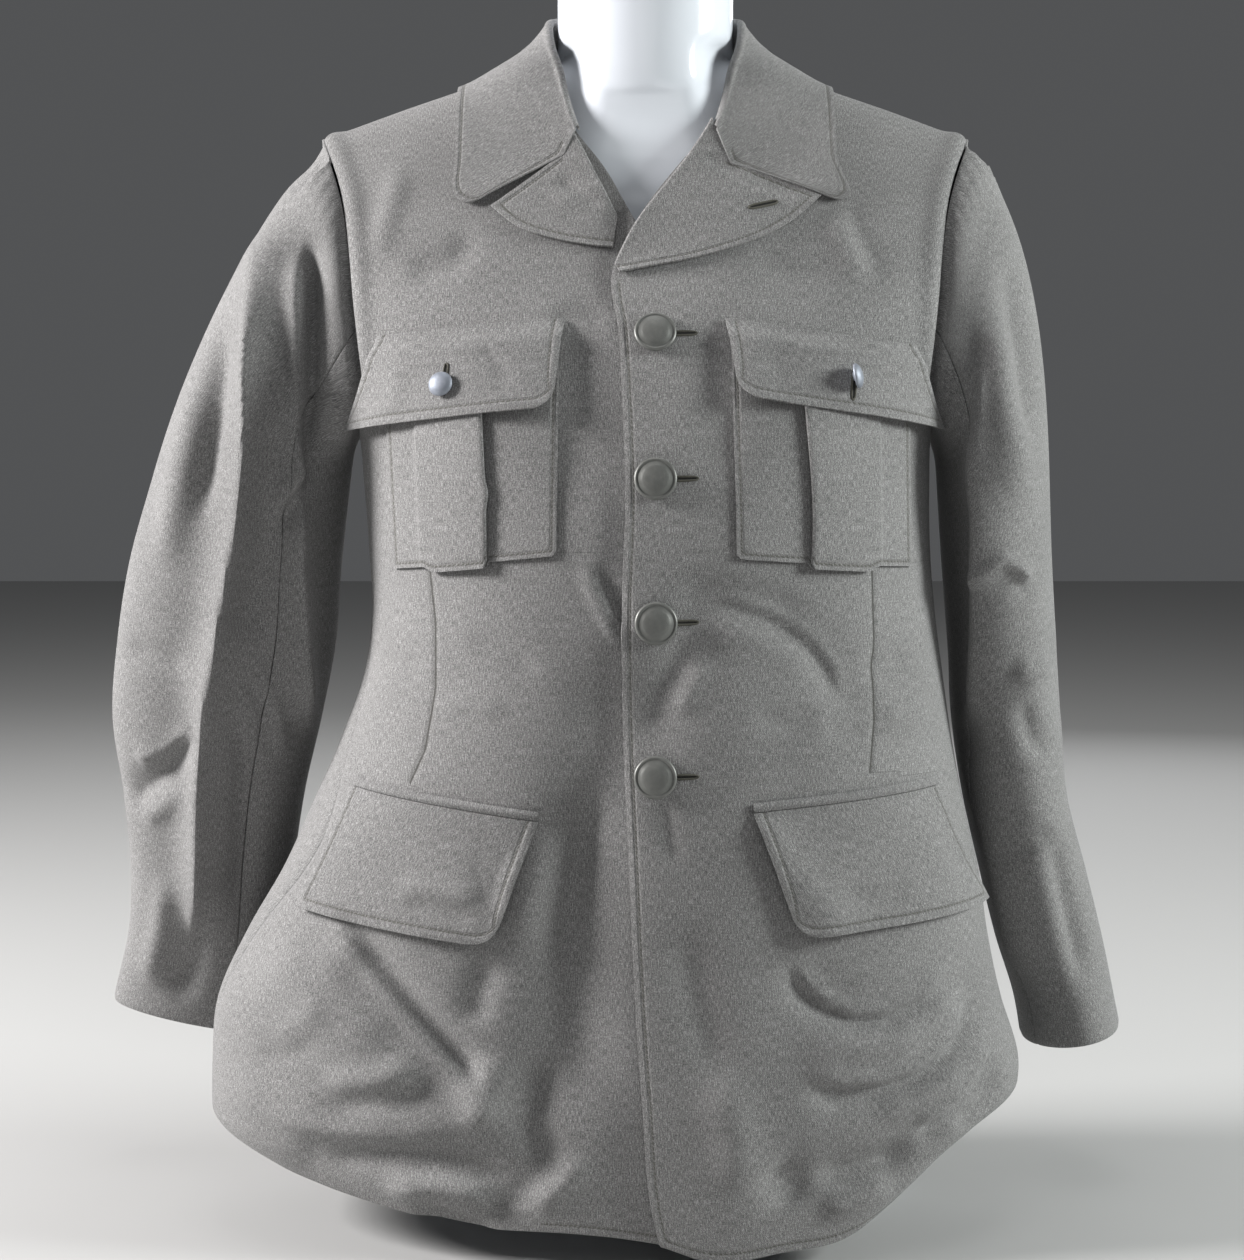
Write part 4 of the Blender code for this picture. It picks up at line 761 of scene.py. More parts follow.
def wool_twill():
    wool = Finish("wool_twill", 0.93, sheen_weight=0.14, sheen_roughness=0.45)
    wool.shader.inputs["Specular IOR Level"].default_value = 0.25
    place = wool.node("ShaderNodeUVMap", {}, {})
    parts = wool.node("ShaderNodeSeparateXYZ", {}, {0: place})
    across, along = parts, Value(wool, parts.socket.node.outputs[1])
    fleck = wool.noise(wool.stretch(place, 1500, 1050), 1.0, 3.0, 0.7)
    streak = wool.noise(wool.stretch(place, 1700, 230), 1.0, 2.0, 0.6)
    cloud = wool.noise(place, 16.0, 3.0, 0.55)
    salt = (fleck * 0.60 + streak * 0.40 - 0.5) * 2.8 + 0.5 + (cloud - 0.5) * 0.18
    body = wool.node("ShaderNodeValToRGB", {"stops": (
        (0.10, DARK_WOOL), (0.50, MID_WOOL), (0.92, PALE_WOOL))}, {0: salt})
    edge = wool.node("ShaderNodeAttribute", {"attribute_name": "edge"}, {}, out=2)
    dart = wool.node("ShaderNodeAttribute", {"attribute_name": "dart"}, {}, out=2)
    off_line = (edge - STITCH_INSET).size()
    dash = ((across + along) * (TURN / STITCH_LONG)).wave().rise(-0.55, -0.1)
    stitch = (1 - off_line.rise(0.00030, 0.00075)) * dash
    groove = 1 - off_line.rise(0.0004, 0.0019)
    seam = 1 - dart.size().rise(0.0002, 0.0009)
    valley = 1 - dart.size().rise(0.0003, 0.0030)
    shaded = wool.mix(groove * 0.22 + valley * 0.16, body, GROOVE_SHADE)
    lined = wool.mix(seam * 0.70, shaded, SEAM_SHADE)
    wool.colour(wool.mix(stitch * 0.62, lined, THREAD))
    ribs = ((across * 1.0 + along * 0.7) * (TURN / RIB)).wave()
    fuzz = wool.noise(wool.stretch(place, 1500, 1500), 1.0, 2.0, 0.7)
    crimp = wool.noise(wool.stretch(place, 110, 60), 1.0, 2.0, 0.5)
    raised = fleck * 0.30 + fuzz * 0.22 + ribs * 0.05 + crimp * 0.35
    height = raised - groove * 0.75 - valley * 0.9 + stitch * 0.35
    wool.relief(height, 0.75, 0.0007)
    return wool.material


WOOL = wool_twill()
print("nodes in the wool", len(WOOL.node_tree.nodes))

# %% [markdown]
# ## The fronts and the back
# Both fronts and the back run from the rolled hem up to the shoulder seams.
# They are cut from the torso surface by height and by the angle from the front.
# The grid is close enough for a crease of a few millimetres.

# %% Grids close enough for creases
FRONT_COLUMNS = 112
BACK_COLUMNS = 120
NECK_COLUMNS = 78
SKIRT_STEPS = tuple(np.linspace(0, 1, 45)[:-1])
BODY_HEIGHTS = tuple(np.linspace(HEM_TOP, PIT_Z, 130))
YOKE_STEPS = 72
YOKE_CLOSER = 1.25
SEAM_YOKE_STEP = 24

# %% The torso by angle, and the rolled hem
def angle_point(angle, z):
    """The torso at an angle from the front, in degrees, positive to the left."""
    turn = np.radians(np.asarray(angle, float))
    side = np.where(np.sin(turn) >= 0, 1.0, -1.0)
    x = side * half_width(side, z) * np.abs(np.sin(turn)) ** (2 / SQUARENESS)
    reach = np.abs(np.cos(turn)) ** (2 / SQUARENESS)
    front = smooth(SECTIONS, SECTION_COLUMNS.index("front"), z)
    back = smooth(SECTIONS, SECTION_COLUMNS.index("back"), z)
    mid = middle_y(z)
    y = mid + np.where(np.cos(turn) >= 0, front - mid, back - mid) * reach
    return np.stack(np.broadcast_arrays(x, y, z), axis=-1)


def angle_at(x, z):
    share = np.clip(np.abs(x) / half_width(x, z), 0, 1) ** (SQUARENESS / 2)
    return np.sign(x) * np.degrees(np.arcsin(share))


def skirt_point(angle, step):
    """The torso near the hem, which rolls in at the bottom."""
    turned = (np.asarray(angle, float) + 180) % 360 - 180
    hem = smooth(HEM, 1, turned)
    z = hem + (HEM_TOP - hem) * step
    p = angle_point(angle, z)
    roll = smooth(HEM, 2, turned) * np.clip(1 - step / ROLL_SHARE, 0, 1) ** 2
    inward = body_normal(p)
    inward[..., 2] = 0
    return p - unit(inward) * np.asarray(roll)[..., None]


def lower_rows(start, end, columns):
    """Grid rows from the hem to the armhole's height; start and end give angles by height."""
    share = np.linspace(0, 1, columns + 1)
    rows = []
    for step in SKIRT_STEPS:
        z = smooth(HEM, 1, 0) + (HEM_TOP - smooth(HEM, 1, 0)) * step
        angles = start(z) + (end(z) - start(z)) * share
        rows.append(skirt_point(angles, np.full(len(share), step)))
    for z in BODY_HEIGHTS:
        angles = start(z) + (end(z) - start(z)) * share
        rows.append(angle_point(angles, np.full(len(share), z)))
    return rows

# %% Grid lines round the armhole and up to the shoulder
def armhole_z(turn):
    """The height of a place on the armhole, by its angle from the tip in degrees."""
    return (TIP_Z + PIT_Z) / 2 + (TIP_Z - PIT_Z) / 2 * np.cos(np.radians(turn))


def armhole_turn(step):
    """The armhole's angle from its tip at a row of the body's grid, so that walls meet point to point."""
    return 180 * (1 - np.asarray(step) / YOKE_STEPS) ** YOKE_CLOSER


def yoke_shares():
    """Steps from the armhole's height to the shoulder, closer near the top."""
    return 1 - armhole_turn(np.arange(1, YOKE_STEPS + 1)) / 180


def front_edge_x(side, z):
    return smooth(EDGE_LEFT if side == LEFT else EDGE_RIGHT, 1, z)


def seam_angle(side, z):
    return side * smooth(SIDE_SEAM, SEAM_COLUMNS.index("left" if side == LEFT else "right"), z)

# %% The grids of the fronts and the back
def front_grid(side):
    rows = lower_rows(
        lambda z: angle_at(front_edge_x(side, z), z), lambda z: seam_angle(side, z), FRONT_COLUMNS
    )
    pit = rows[-1]
    pit_share = (pit[:, 0] - pit[0, 0]) / (pit[-1, 0] - pit[0, 0])
    even = np.linspace(0, 1, FRONT_COLUMNS + 1)
    for share in yoke_shares():
        edge_z = PIT_Z + (NECK_Z - PIT_Z) * share
        arm_z = armhole_z(180 * (1 - share))
        across = pit_share + (even - pit_share) * share
        edge_x = front_edge_x(side, edge_z)
        x = edge_x + (side * smooth(ARMHOLE, 1, arm_z) - edge_x) * across
        z = edge_z + (arm_z - edge_z) * across
        z = z + (shoulder_z(x) - (NECK_Z + (TIP_Z - NECK_Z) * across)) * share**4
        rows.append(body_point("front", x, np.minimum(z, shoulder_z(x))))
    return np.array(rows)


def back_grid():
    rows = lower_rows(
        lambda z: seam_angle(LEFT, z), lambda z: 360 + seam_angle(RIGHT, z), BACK_COLUMNS
    )
    even = 1 - 2 * np.linspace(0, 1, BACK_COLUMNS + 1)
    pit_x = rows[-1][:, 0]
    neck_share = NECK_COLUMNS / BACK_COLUMNS
    top_x = np.where(
        np.abs(even) <= neck_share,
        even / neck_share * NECK_X,
        np.sign(even) * (NECK_X + (np.abs(even) - neck_share) / (1 - neck_share) * (SHOULDER_TIP - NECK_X)),
    )
    bend = np.clip(1 - (top_x / NECK_X) ** 2, 0, 1)
    top_z = np.where(np.abs(top_x) < NECK_X, NECK_Z + NECK_RISE * bend, shoulder_z(top_x))
    for share in yoke_shares():
        arm_z = armhole_z(180 * (1 - share))
        arm_x = smooth(ARMHOLE, 1, arm_z)
        middle_z = PIT_Z + (NECK_Z + NECK_RISE - PIT_Z) * share
        wide = pit_x + (top_x - pit_x) * share
        x = wide * (arm_x / np.abs(wide[0]))
        out = np.abs(x / x[0])
        z = middle_z + (arm_z - middle_z) * out**1.2
        straight = NECK_Z + NECK_RISE + (TIP_Z - NECK_Z - NECK_RISE) * out**1.2
        z = z + (top_z - straight) * share**3
        x = x + (top_x * arm_x / np.abs(top_x[0]) - x) * share**6
        rows.append(body_point("back", x, np.minimum(z, shoulder_z(x))))
    return np.array(rows)

# %% The directions that the walls are thick along
def armhole_rim(points):
    """The direction that both walls are thick along where the sleeve is sewn in."""
    mid_z = (TIP_Z + PIT_Z) / 2
    up = (points[..., 2] - mid_z) / (TIP_Z - mid_z)
    forward = np.sign(points[..., 1] - middle_y(points[..., 2]))
    side = np.sign(points[..., 0])
    level = np.sqrt(np.clip(1 - up**2, 0, 1))
    return unit(np.stack([side * (0.35 + 0.25 * up), forward * level, 0.25 + 0.65 * up], axis=-1))


def rim_share(points):
    """1 round the upper armhole, fading to 0 at the pit, where the walls face each other."""
    return ease(PIT_Z + 0.006, PIT_Z + 0.035, points[..., 2])[..., None]


def panel_normals(points, face):
    outward = body_normal(points)
    n = grid_normals(points, outward)
    pit = len(SKIRT_STEPS) + len(BODY_HEIGHTS) - 1
    columns = (-1,) if face == "front" else (0, -1)
    for c in columns:
        n[: pit + 1, c] = outward[: pit + 1, c]
        share = rim_share(points[pit:, c])
        n[pit:, c] = unit(n[pit:, c] * (1 - share) + armhole_rim(points[pit:, c]) * share)
    on_seam = np.abs(points[-1, :, 0]) >= NECK_X - 1e-6
    x = points[-1, :, 0]
    top = unit(np.stack([np.sign(x) * 0.35, 0 * x, 1 + 0 * x], -1))
    n[-1] = np.where(on_seam[:, None], top, n[-1])
    return n

# %% [markdown]
# Sewing changes the surface next to it. A side seam lies in a shallow valley.
# Round the armhole the panel's turned edge stands up over the sleeve, which makes the deep dark line there.

# %% Relief along the seams
SEAM_SINK = 0.0011
SEAM_WIDE = 0.0035
LIP_RISE = 0.0026
LIP_FROM = 0.0070


def seam_relief(points, face):
    lengths = edge_lengths(points)
    upper = ease(PIT_Z + 0.005, PIT_Z + 0.045, points[..., 2])
    total = np.zeros(points.shape[:2])
    for word in ("last_column",) if face == "front" else ("first_column", "last_column"):
        away = lengths[word]
        valley = -SEAM_SINK * hump(away, SEAM_WIDE)
        lip = LIP_RISE * hump(away - LIP_FROM, LIP_FROM)
        lip = lip - 0.3 * LIP_RISE * hump(away, 0.002)
        total += valley * (1 - upper) + lip * upper
    on_shoulder = np.abs(points[..., 0]) > NECK_X
    return total - SEAM_SINK * hump(lengths["last_row"], SEAM_WIDE) * on_shoulder


# %% Darts below the chest pockets
DART_LINES = {
    LEFT: ((0.1350, 0.4135), (0.1362, 0.370), (0.1360, 0.322), (0.1330, 0.290)),
    RIGHT: ((-0.1300, 0.4135), (-0.1262, 0.380), (-0.1260, 0.341), (-0.1320, 0.305), (-0.1420, 0.283)),
}


def dart_distance(side, x, z):
    signed, along = line_place(DART_LINES[side], x, z)
    return np.where((along > 0.001) & (along < 0.999), signed, EDGE_FAR)


# %% The two fronts
BREAK_Z = 0.586
BARE_HEM_X = -0.066
FRONT_STITCH = 0.005
fronts = {}
for side, name in ((LEFT, "front_left"), (RIGHT, "front_right")):
    points = front_grid(side)
    normals = panel_normals(points, "front")
    x, z = points[..., 0], points[..., 2]
    lift = fold_depth(FOLDS, "front", x, z) + lap_lift(side, x, z) + seam_relief(points, "front")
    outer = draw_in(points + normals * lift[..., None], ("last_row", "last_column"))
    lengths = edge_lengths(outer)
    up_edge = np.where(z < BREAK_Z, lengths["first_column"], EDGE_FAR)
    hem = np.where(x < BARE_HEM_X, EDGE_FAR, lengths["first_row"])
    edge = np.minimum(up_edge, hem) + STITCH_INSET - FRONT_STITCH
    marks = {"edge": edge, "dart": dart_distance(side, x, z)}
    grain = weave(outer, lengths, "edge")
    fronts[side] = panel("wool_" + name, outer, normals, CLOTH, WOOL, marks=marks, grain=grain)
    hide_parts(name)

# %% The back
BACK_SEAM_TOP = 0.735
points = back_grid()
normals = panel_normals(points, "back")
lift = fold_depth(FOLDS, "back", points[..., 0], points[..., 2]) + seam_relief(points, "back")
outer = draw_in(points + normals * lift[..., None], ("last_row", "first_column", "last_column"))
back_dart = np.where(points[..., 2] < BACK_SEAM_TOP, points[..., 0], EDGE_FAR)
back = panel("wool_back", outer, normals, CLOTH, WOOL, marks={"dart": back_dart})
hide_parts("back")

# %% [markdown]
# ## The sleeves
# Each sleeve is an upper and an under half, as a tailor cuts it, joined by two long seams.
# The upper half is a little longer than the armhole it is sewn into.
# That spare length makes the head of the sleeve stand up in a puff behind the seam.

# %% Sleeve sizes
# Each row: z, inner, outer, middle, half
SLEEVE_LEFT = (
    (0.080, 0.2530, 0.3200, 0.041, 0.056),
    (0.120, 0.2460, 0.3110, 0.038, 0.058),
    (0.160, 0.2330, 0.3020, 0.034, 0.060),
    (0.210, 0.2200, 0.2885, 0.028, 0.064),
    (0.260, 0.2080, 0.2745, 0.022, 0.068),
    (0.310, 0.2000, 0.2690, 0.016, 0.070),
    (0.360, 0.1965, 0.2645, 0.012, 0.072),
    (0.410, 0.1920, 0.2605, 0.008, 0.073),
    (0.470, 0.1875, 0.2575, 0.005, 0.074),
)
SLEEVE_RIGHT = (
    (0.090, 0.2440, 0.3640, 0.079, 0.033),
    (0.120, 0.2425, 0.3570, 0.075, 0.034),
    (0.160, 0.2400, 0.3465, 0.067, 0.037),
    (0.210, 0.2330, 0.3420, 0.053, 0.041),
    (0.260, 0.2235, 0.3435, 0.037, 0.043),
    (0.310, 0.2105, 0.3470, 0.024, 0.045),
    (0.360, 0.2000, 0.3415, 0.016, 0.048),
    (0.410, 0.1955, 0.3320, 0.010, 0.052),
    (0.470, 0.1880, 0.3135, 0.004, 0.056),
)
SLEEVE_TOP_Z = 0.470
CUFF_Z = {LEFT: 0.099, RIGHT: 0.099}
CUFF_TILT = {LEFT: 0.006, RIGHT: 0.012}

# %% Sleeve seams and broad folds
# Each row: share, front, hind
SLEEVE_SEAMS = {
    LEFT: ((0.0, 108.4, 251.6), (0.2, 118, 268), (0.4, 132, 300), (0.65, 146, 330), (1.0, 148, 325)),
    RIGHT: ((0.0, 108.4, 251.6), (0.2, 114, 254), (0.4, 120, 258), (0.65, 120, 262), (1.0, 116, 262)),
}
SLEEVE_FOLDS = (
    ("front", 0.0060, 0.014,
     ((-0.241, 0.600), (-0.243, 0.500), (-0.254, 0.439), (-0.277, 0.326), (-0.291, 0.199))),
    ("front", -0.0060, 0.014, ((-0.213, 0.600), (-0.213, 0.500), (-0.234, 0.427), (-0.250, 0.380))),
    ("front", 0.0040, 0.012, ((-0.214, 0.480), (-0.221, 0.414), (-0.222, 0.339))),
    ("front", -0.0050, 0.013, ((-0.330, 0.262), (-0.307, 0.276), (-0.285, 0.300))),
    ("front", -0.0040, 0.012, ((0.196, 0.440), (0.200, 0.370), (0.196, 0.330))),
    ("front", 0.0045, 0.012,
     ((0.212, 0.470), (0.216, 0.380), (0.214, 0.330), (0.222, 0.250), (0.242, 0.150))),
    ("back", -0.0050, 0.014, ((-0.330, 0.330), (-0.290, 0.316), (-0.245, 0.330))),
    ("back", 0.0040, 0.014, ((-0.300, 0.430), (-0.305, 0.360), (-0.300, 0.250))),
    ("back", -0.0045, 0.014, ((0.262, 0.345), (0.235, 0.330), (0.210, 0.345))),
    ("back", 0.0040, 0.014, ((0.232, 0.460), (0.238, 0.360), (0.262, 0.220))),
)

# %% Creases of the sleeves
SLEEVE_CREASES = (
    ("front", "crest", 0.0056, 0.0080, ((-0.242, 0.613), (-0.241, 0.557), (-0.245, 0.501),
        (-0.254, 0.439), (-0.277, 0.326), (-0.284, 0.288), (-0.291, 0.199), (-0.305, 0.128))),
    ("front", "ledge", 0.0044, 0.0080, ((-0.213, 0.618), (-0.211, 0.560), (-0.211, 0.514),
        (-0.215, 0.470), (-0.234, 0.427))),
    ("front", "crest", 0.0048, 0.0080, ((-0.214, 0.495), (-0.221, 0.414), (-0.220, 0.339), (-0.216, 0.292))),
    ("front", "break", -0.0042, 0.0045, ((-0.340, 0.252), (-0.322, 0.264), (-0.307, 0.277), (-0.284, 0.303))),
    ("front", "crest", 0.0026, 0.0065, ((-0.330, 0.282), (-0.308, 0.290), (-0.286, 0.310))),
    ("front", "ridge", 0.0018, 0.0070, ((-0.330, 0.240), (-0.312, 0.252), (-0.294, 0.272))),
    ("front", "trough", -0.0030, 0.0080, ((-0.262, 0.570), (-0.266, 0.500), (-0.280, 0.430))),
    ("front", "ridge", 0.0022, 0.0110, ((-0.275, 0.540), (-0.290, 0.470), (-0.305, 0.400))),
    ("front", "trough", -0.0016, 0.0070, ((-0.336, 0.360), (-0.312, 0.352), (-0.285, 0.345))),
    ("front", "step", -0.0018, 0.0060, ((-0.250, 0.350), (-0.240, 0.318), (-0.236, 0.280))),
    ("front", "trough", -0.0022, 0.0090, ((-0.262, 0.330), (-0.256, 0.280), (-0.262, 0.220),
        (-0.272, 0.160))),
    ("front", "ridge", 0.0018, 0.0080, ((-0.312, 0.210), (-0.320, 0.165), (-0.334, 0.120))),
    ("front", "trough", -0.0020, 0.0090, ((-0.292, 0.180), (-0.300, 0.145), (-0.312, 0.112))),
    ("front", "crest", 0.0050, 0.0100, ((0.206, 0.560), (0.206, 0.500), (0.211, 0.440), (0.212, 0.365),
        (0.211, 0.328), (0.199, 0.292))),
    ("front", "crest", 0.0048, 0.0080, ((0.199, 0.306), (0.211, 0.265), (0.231, 0.202), (0.244, 0.139))),
    ("front", "crest", 0.0048, 0.0050, ((0.209, 0.398), (0.215, 0.408), (0.222, 0.416), (0.230, 0.410),
        (0.238, 0.400))),
    ("front", "trough", -0.0016, 0.0045, ((0.212, 0.394), (0.224, 0.404), (0.240, 0.390))),
    ("front", "break", -0.0030, 0.0042, ((0.257, 0.364), (0.262, 0.334), (0.266, 0.305))),
    ("front", "trough", -0.0026, 0.0110, ((0.226, 0.610), (0.234, 0.545), (0.238, 0.480))),
    ("front", "ridge", 0.0024, 0.0110, ((0.212, 0.570), (0.221, 0.510), (0.230, 0.440))),
    ("front", "trough", -0.0022, 0.0080, ((0.204, 0.560), (0.206, 0.520), (0.200, 0.480))),
    ("front", "trough", -0.0020, 0.0080, ((0.232, 0.330), (0.244, 0.300), (0.262, 0.290))),
    ("front", "ridge", 0.0018, 0.0080, ((0.226, 0.350), (0.240, 0.344), (0.258, 0.350))),
    ("front", "trough", -0.0022, 0.0090, ((0.256, 0.250), (0.268, 0.200), (0.286, 0.130))),
    ("front", "trough", -0.0016, 0.0070, ((0.222, 0.230), (0.240, 0.232), (0.262, 0.244))),
    ("back", "break", -0.0030, 0.0070, ((-0.340, 0.322), (-0.310, 0.310), (-0.270, 0.318))),
    ("back", "ridge", 0.0026, 0.0080, ((-0.336, 0.344), (-0.300, 0.334), (-0.256, 0.346))),
    ("back", "trough", -0.0024, 0.0090, ((-0.300, 0.560), (-0.296, 0.490), (-0.308, 0.420))),
    ("back", "step", 0.0026, 0.0090, ((-0.262, 0.600), (-0.268, 0.520), (-0.276, 0.440))),
    ("back", "trough", -0.0020, 0.0080, ((-0.320, 0.250), (-0.300, 0.190), (-0.304, 0.130))),
    ("back", "break", -0.0028, 0.0060, ((0.266, 0.352), (0.240, 0.336), (0.212, 0.344))),
    ("back", "ridge", 0.0024, 0.0080, ((0.264, 0.376), (0.240, 0.362), (0.210, 0.370))),
    ("back", "trough", -0.0024, 0.0090, ((0.236, 0.580), (0.242, 0.510), (0.240, 0.440))),
    ("back", "step", 0.0024, 0.0080, ((0.220, 0.600), (0.226, 0.530), (0.224, 0.460))),
    ("back", "trough", -0.0020, 0.0080, ((0.250, 0.270), (0.262, 0.200), (0.280, 0.130))),
)

# %% The armhole and the rings of the sleeve
def armhole_point(side, turn):
    """The armhole, by the angle from its tip in degrees, going down the front first."""
    turn = np.asarray(turn, float) % 360
    z = armhole_z(turn)
    x = side * smooth(ARMHOLE, 1, z)
    y = np.where(turn <= 180, front_y(x, z), back_y(x, z))
    return np.stack([x, y, z], axis=-1)


def sleeve_ring(side, turn, z):
    table = SLEEVE_LEFT if side == LEFT else SLEEVE_RIGHT
    inner, outer, middle, half = (smooth(table, column, z) for column in (1, 2, 3, 4))
    angle = np.radians(turn)
    x = side * ((inner + outer) / 2 + (outer - inner) / 2 * np.cos(angle))
    y = middle - half * np.sin(angle)
    return np.stack(np.broadcast_arrays(x, y, z), axis=-1)


def sleeve_cap(side, turn, share):
    """The cap, from the armhole at 0 to the round sleeve at 1."""
    start = armhole_point(side, turn)
    end = sleeve_ring(side, turn, SLEEVE_TOP_Z)
    length = np.linalg.norm(end - start, axis=-1, keepdims=True)
    angle = np.radians(turn)
    out_x = side * (0.58 + 0.10 * np.cos(angle))
    leave = unit(np.stack([out_x, -0.22 * np.sin(angle), -0.80 + 0 * angle], -1))
    arrive = unit(end - sleeve_ring(side, turn, SLEEVE_TOP_Z + 0.0001 - 0.03)) * -1
    t = share
    blend = (2 * t**3 - 3 * t**2 + 1) * start + (3 * t**2 - 2 * t**3) * end
    return blend + (t**3 - 2 * t**2 + t) * length * leave + (t**3 - t**2) * length * arrive

# %% The grid of one half of a sleeve
SLEEVE_CAP_STEPS = 44
SLEEVE_STEPS = 110


def sewn_turns(part):
    """The angles round the armhole of the grid's columns; the short under half has two for each row."""
    if part == "upper":
        front = armhole_turn(np.arange(SEAM_YOKE_STEP, YOKE_STEPS + 1))
        return np.concatenate([-front, front[-2::-1]])
    under = armhole_turn(np.arange(SEAM_YOKE_STEP, -0.5, -0.5))
    return np.concatenate([under, 360 - under[-2::-1]])


def sleeve_turns(side, part, share):
    """The angles of one part's columns, from the armhole at 0 to the cuff at 1."""
    sewn = sewn_turns(part)
    front, hind = smooth(SLEEVE_SEAMS[side], 1, share), smooth(SLEEVE_SEAMS[side], 2, share)
    across = np.linspace(0, 1, len(sewn))
    start, end = (hind - 360, front) if part == "upper" else (front, hind)
    even = start + (end - start) * across
    drift = (start - sewn[0]) * (1 - across) + (end - sewn[-1]) * across
    return (sewn + drift) + (even - sewn - drift) * ease(0, 0.30, share)


def sleeve_grid(side, part):
    cap_share = SLEEVE_CAP_STEPS / (SLEEVE_CAP_STEPS + SLEEVE_STEPS)
    rows = []
    for step in range(SLEEVE_CAP_STEPS):
        share = (step / SLEEVE_CAP_STEPS) ** 1.1
        rows.append(sleeve_cap(side, sleeve_turns(side, part, share * cap_share), share))
    for step in range(SLEEVE_STEPS + 1):
        share = step / SLEEVE_STEPS
        level = SLEEVE_TOP_Z + (CUFF_Z[side] - SLEEVE_TOP_Z) * share
        angles = sleeve_turns(side, part, cap_share + (1 - cap_share) * share)
        z = level + CUFF_TILT[side] * np.cos(np.radians(angles)) * share
        rows.append(sleeve_ring(side, angles, z))
    return np.array(rows)


def sleeve_outward(side, points):
    table = SLEEVE_LEFT if side == LEFT else SLEEVE_RIGHT
    z = np.clip(points[..., 2], table[0][0], SLEEVE_TOP_Z)
    centre = np.stack(
        [side * (smooth(table, 1, z) + smooth(table, 2, z)) / 2, smooth(table, 3, z), points[..., 2]], -1
    )
    return unit(points - centre)

# %% Its surface, with folds
def sleeve_surface(side, part):
    points = sleeve_grid(side, part)
    outward = sleeve_outward(side, points)
    normals = grid_normals(points, outward)
    for c in (0, -1):
        normals[:, c] = seam_normals(side, points, c, part)
    share = rim_share(points[0])
    normals[0] = unit(normals[0] * (1 - share) + armhole_rim(points[0]) * share)
    x, z = points[..., 0], points[..., 2]
    facing = np.clip(np.abs(normals[..., 1]) * 1.4, 0, 1)
    depth = np.where(
        normals[..., 1] < 0, fold_depth(SLEEVE_FOLDS, "front", x, z), fold_depth(SLEEVE_FOLDS, "back", x, z)
    )
    return points + normals * (depth * facing)[..., None], normals


def seam_normals(side, points, column, part):
    """Normals on a sleeve seam, worked out across it so that both halves agree."""
    other = sleeve_grid(side, "under" if part == "upper" else "upper")
    near = points[:, 1] if column == 0 else points[:, -2]
    far = other[:, -2] if column == 0 else other[:, 1]
    along = np.gradient(points[:, column], axis=0)
    across = far - near if column == 0 else near - far
    n = unit(np.cross(across, along))
    flip = np.sign(np.sum(n * sleeve_outward(side, points[:, column]), axis=-1, keepdims=True))
    return n * np.where(flip == 0, 1, flip)

# %% The puff of the sleeve head and the seams
HEAD_PUFF = 0.0042
HEAD_FROM = 0.014
HEAD_WIDE = 0.016
ARMHOLE_SINK = 0.0046
ARMHOLE_WIDE = 0.0075
GATHER_HIGH = 0.0005
GATHER_LONG = 0.011
SLEEVE_SEAM_SINK = 0.0004
SLEEVE_SEAM_WIDE = 0.003
CUFF_SINK = 0.0010
CUFF_WIDE = 0.002


def sleeve_relief(points):
    lengths = edge_lengths(points)
    away = lengths["first_row"]
    top = ease(PIT_Z + 0.06, TIP_Z - 0.02, points[0, :, 2])[None, :]
    round_arm = ease(PIT_Z + 0.005, PIT_Z + 0.045, points[0, :, 2])[None, :]
    sink = -ARMHOLE_SINK * hump(away, ARMHOLE_WIDE) * round_arm * (1 - 0.92 * top)
    puff = HEAD_PUFF * hump(away - HEAD_FROM, HEAD_WIDE) * top
    gather = GATHER_HIGH * np.sin(lengths["first_column"] * TURN / GATHER_LONG)
    gather = gather * hump(away - 0.012, 0.009) * top
    seams = sum(hump(lengths[word], SLEEVE_SEAM_WIDE) for word in ("first_column", "last_column"))
    hem = -CUFF_SINK * hump(lengths["last_row"], CUFF_WIDE)
    return sink + puff + gather - SLEEVE_SEAM_SINK * seams * ease(0.0, 0.03, away) + hem


# %% The four halves
for side, name in ((LEFT, "sleeve_left"), (RIGHT, "sleeve_right")):
    for part in ("upper", "under"):
        points, normals = sleeve_surface(side, part)
        outer = points + normals * sleeve_relief(points)[..., None]
        outer = draw_in(outer, ("first_row", "first_row", "first_column", "last_column"))
        lengths = edge_lengths(outer)
        middle = lengths["first_column"][:, outer.shape[1] // 2, None]
        grain = np.stack([lengths["first_column"] - middle, lengths["last_row"]], -1)
        piece = panel(f"wool_{name}_{part}", outer, normals, CLOTH, WOOL, grain=grain)
        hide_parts(f"{name}_{part}")

# %% [markdown]
# ## Chest pockets
# A patch pocket is one piece of cloth, sewn down on three sides.
# Its box pleat lets it open out when something is put in, and one side of the pleat stands up here.
# The pocket is drawn as a path across, from share and height, that doubles back under the pleat's edge.
# A flat grid with a bump could not cast the dark line under that edge.

# %% A place on a front, moved out over its folds
def on_front(side, x, z, out):
    """A place on a front, moved out along its normal, over its folds and the lap."""
    p = body_point("front", x, z)
    n = body_normal(p)
    lift = fold_depth(FOLDS, "front", x, z) + lap_lift(side, x, z)
    return p + n * (lift + out)[..., None], n

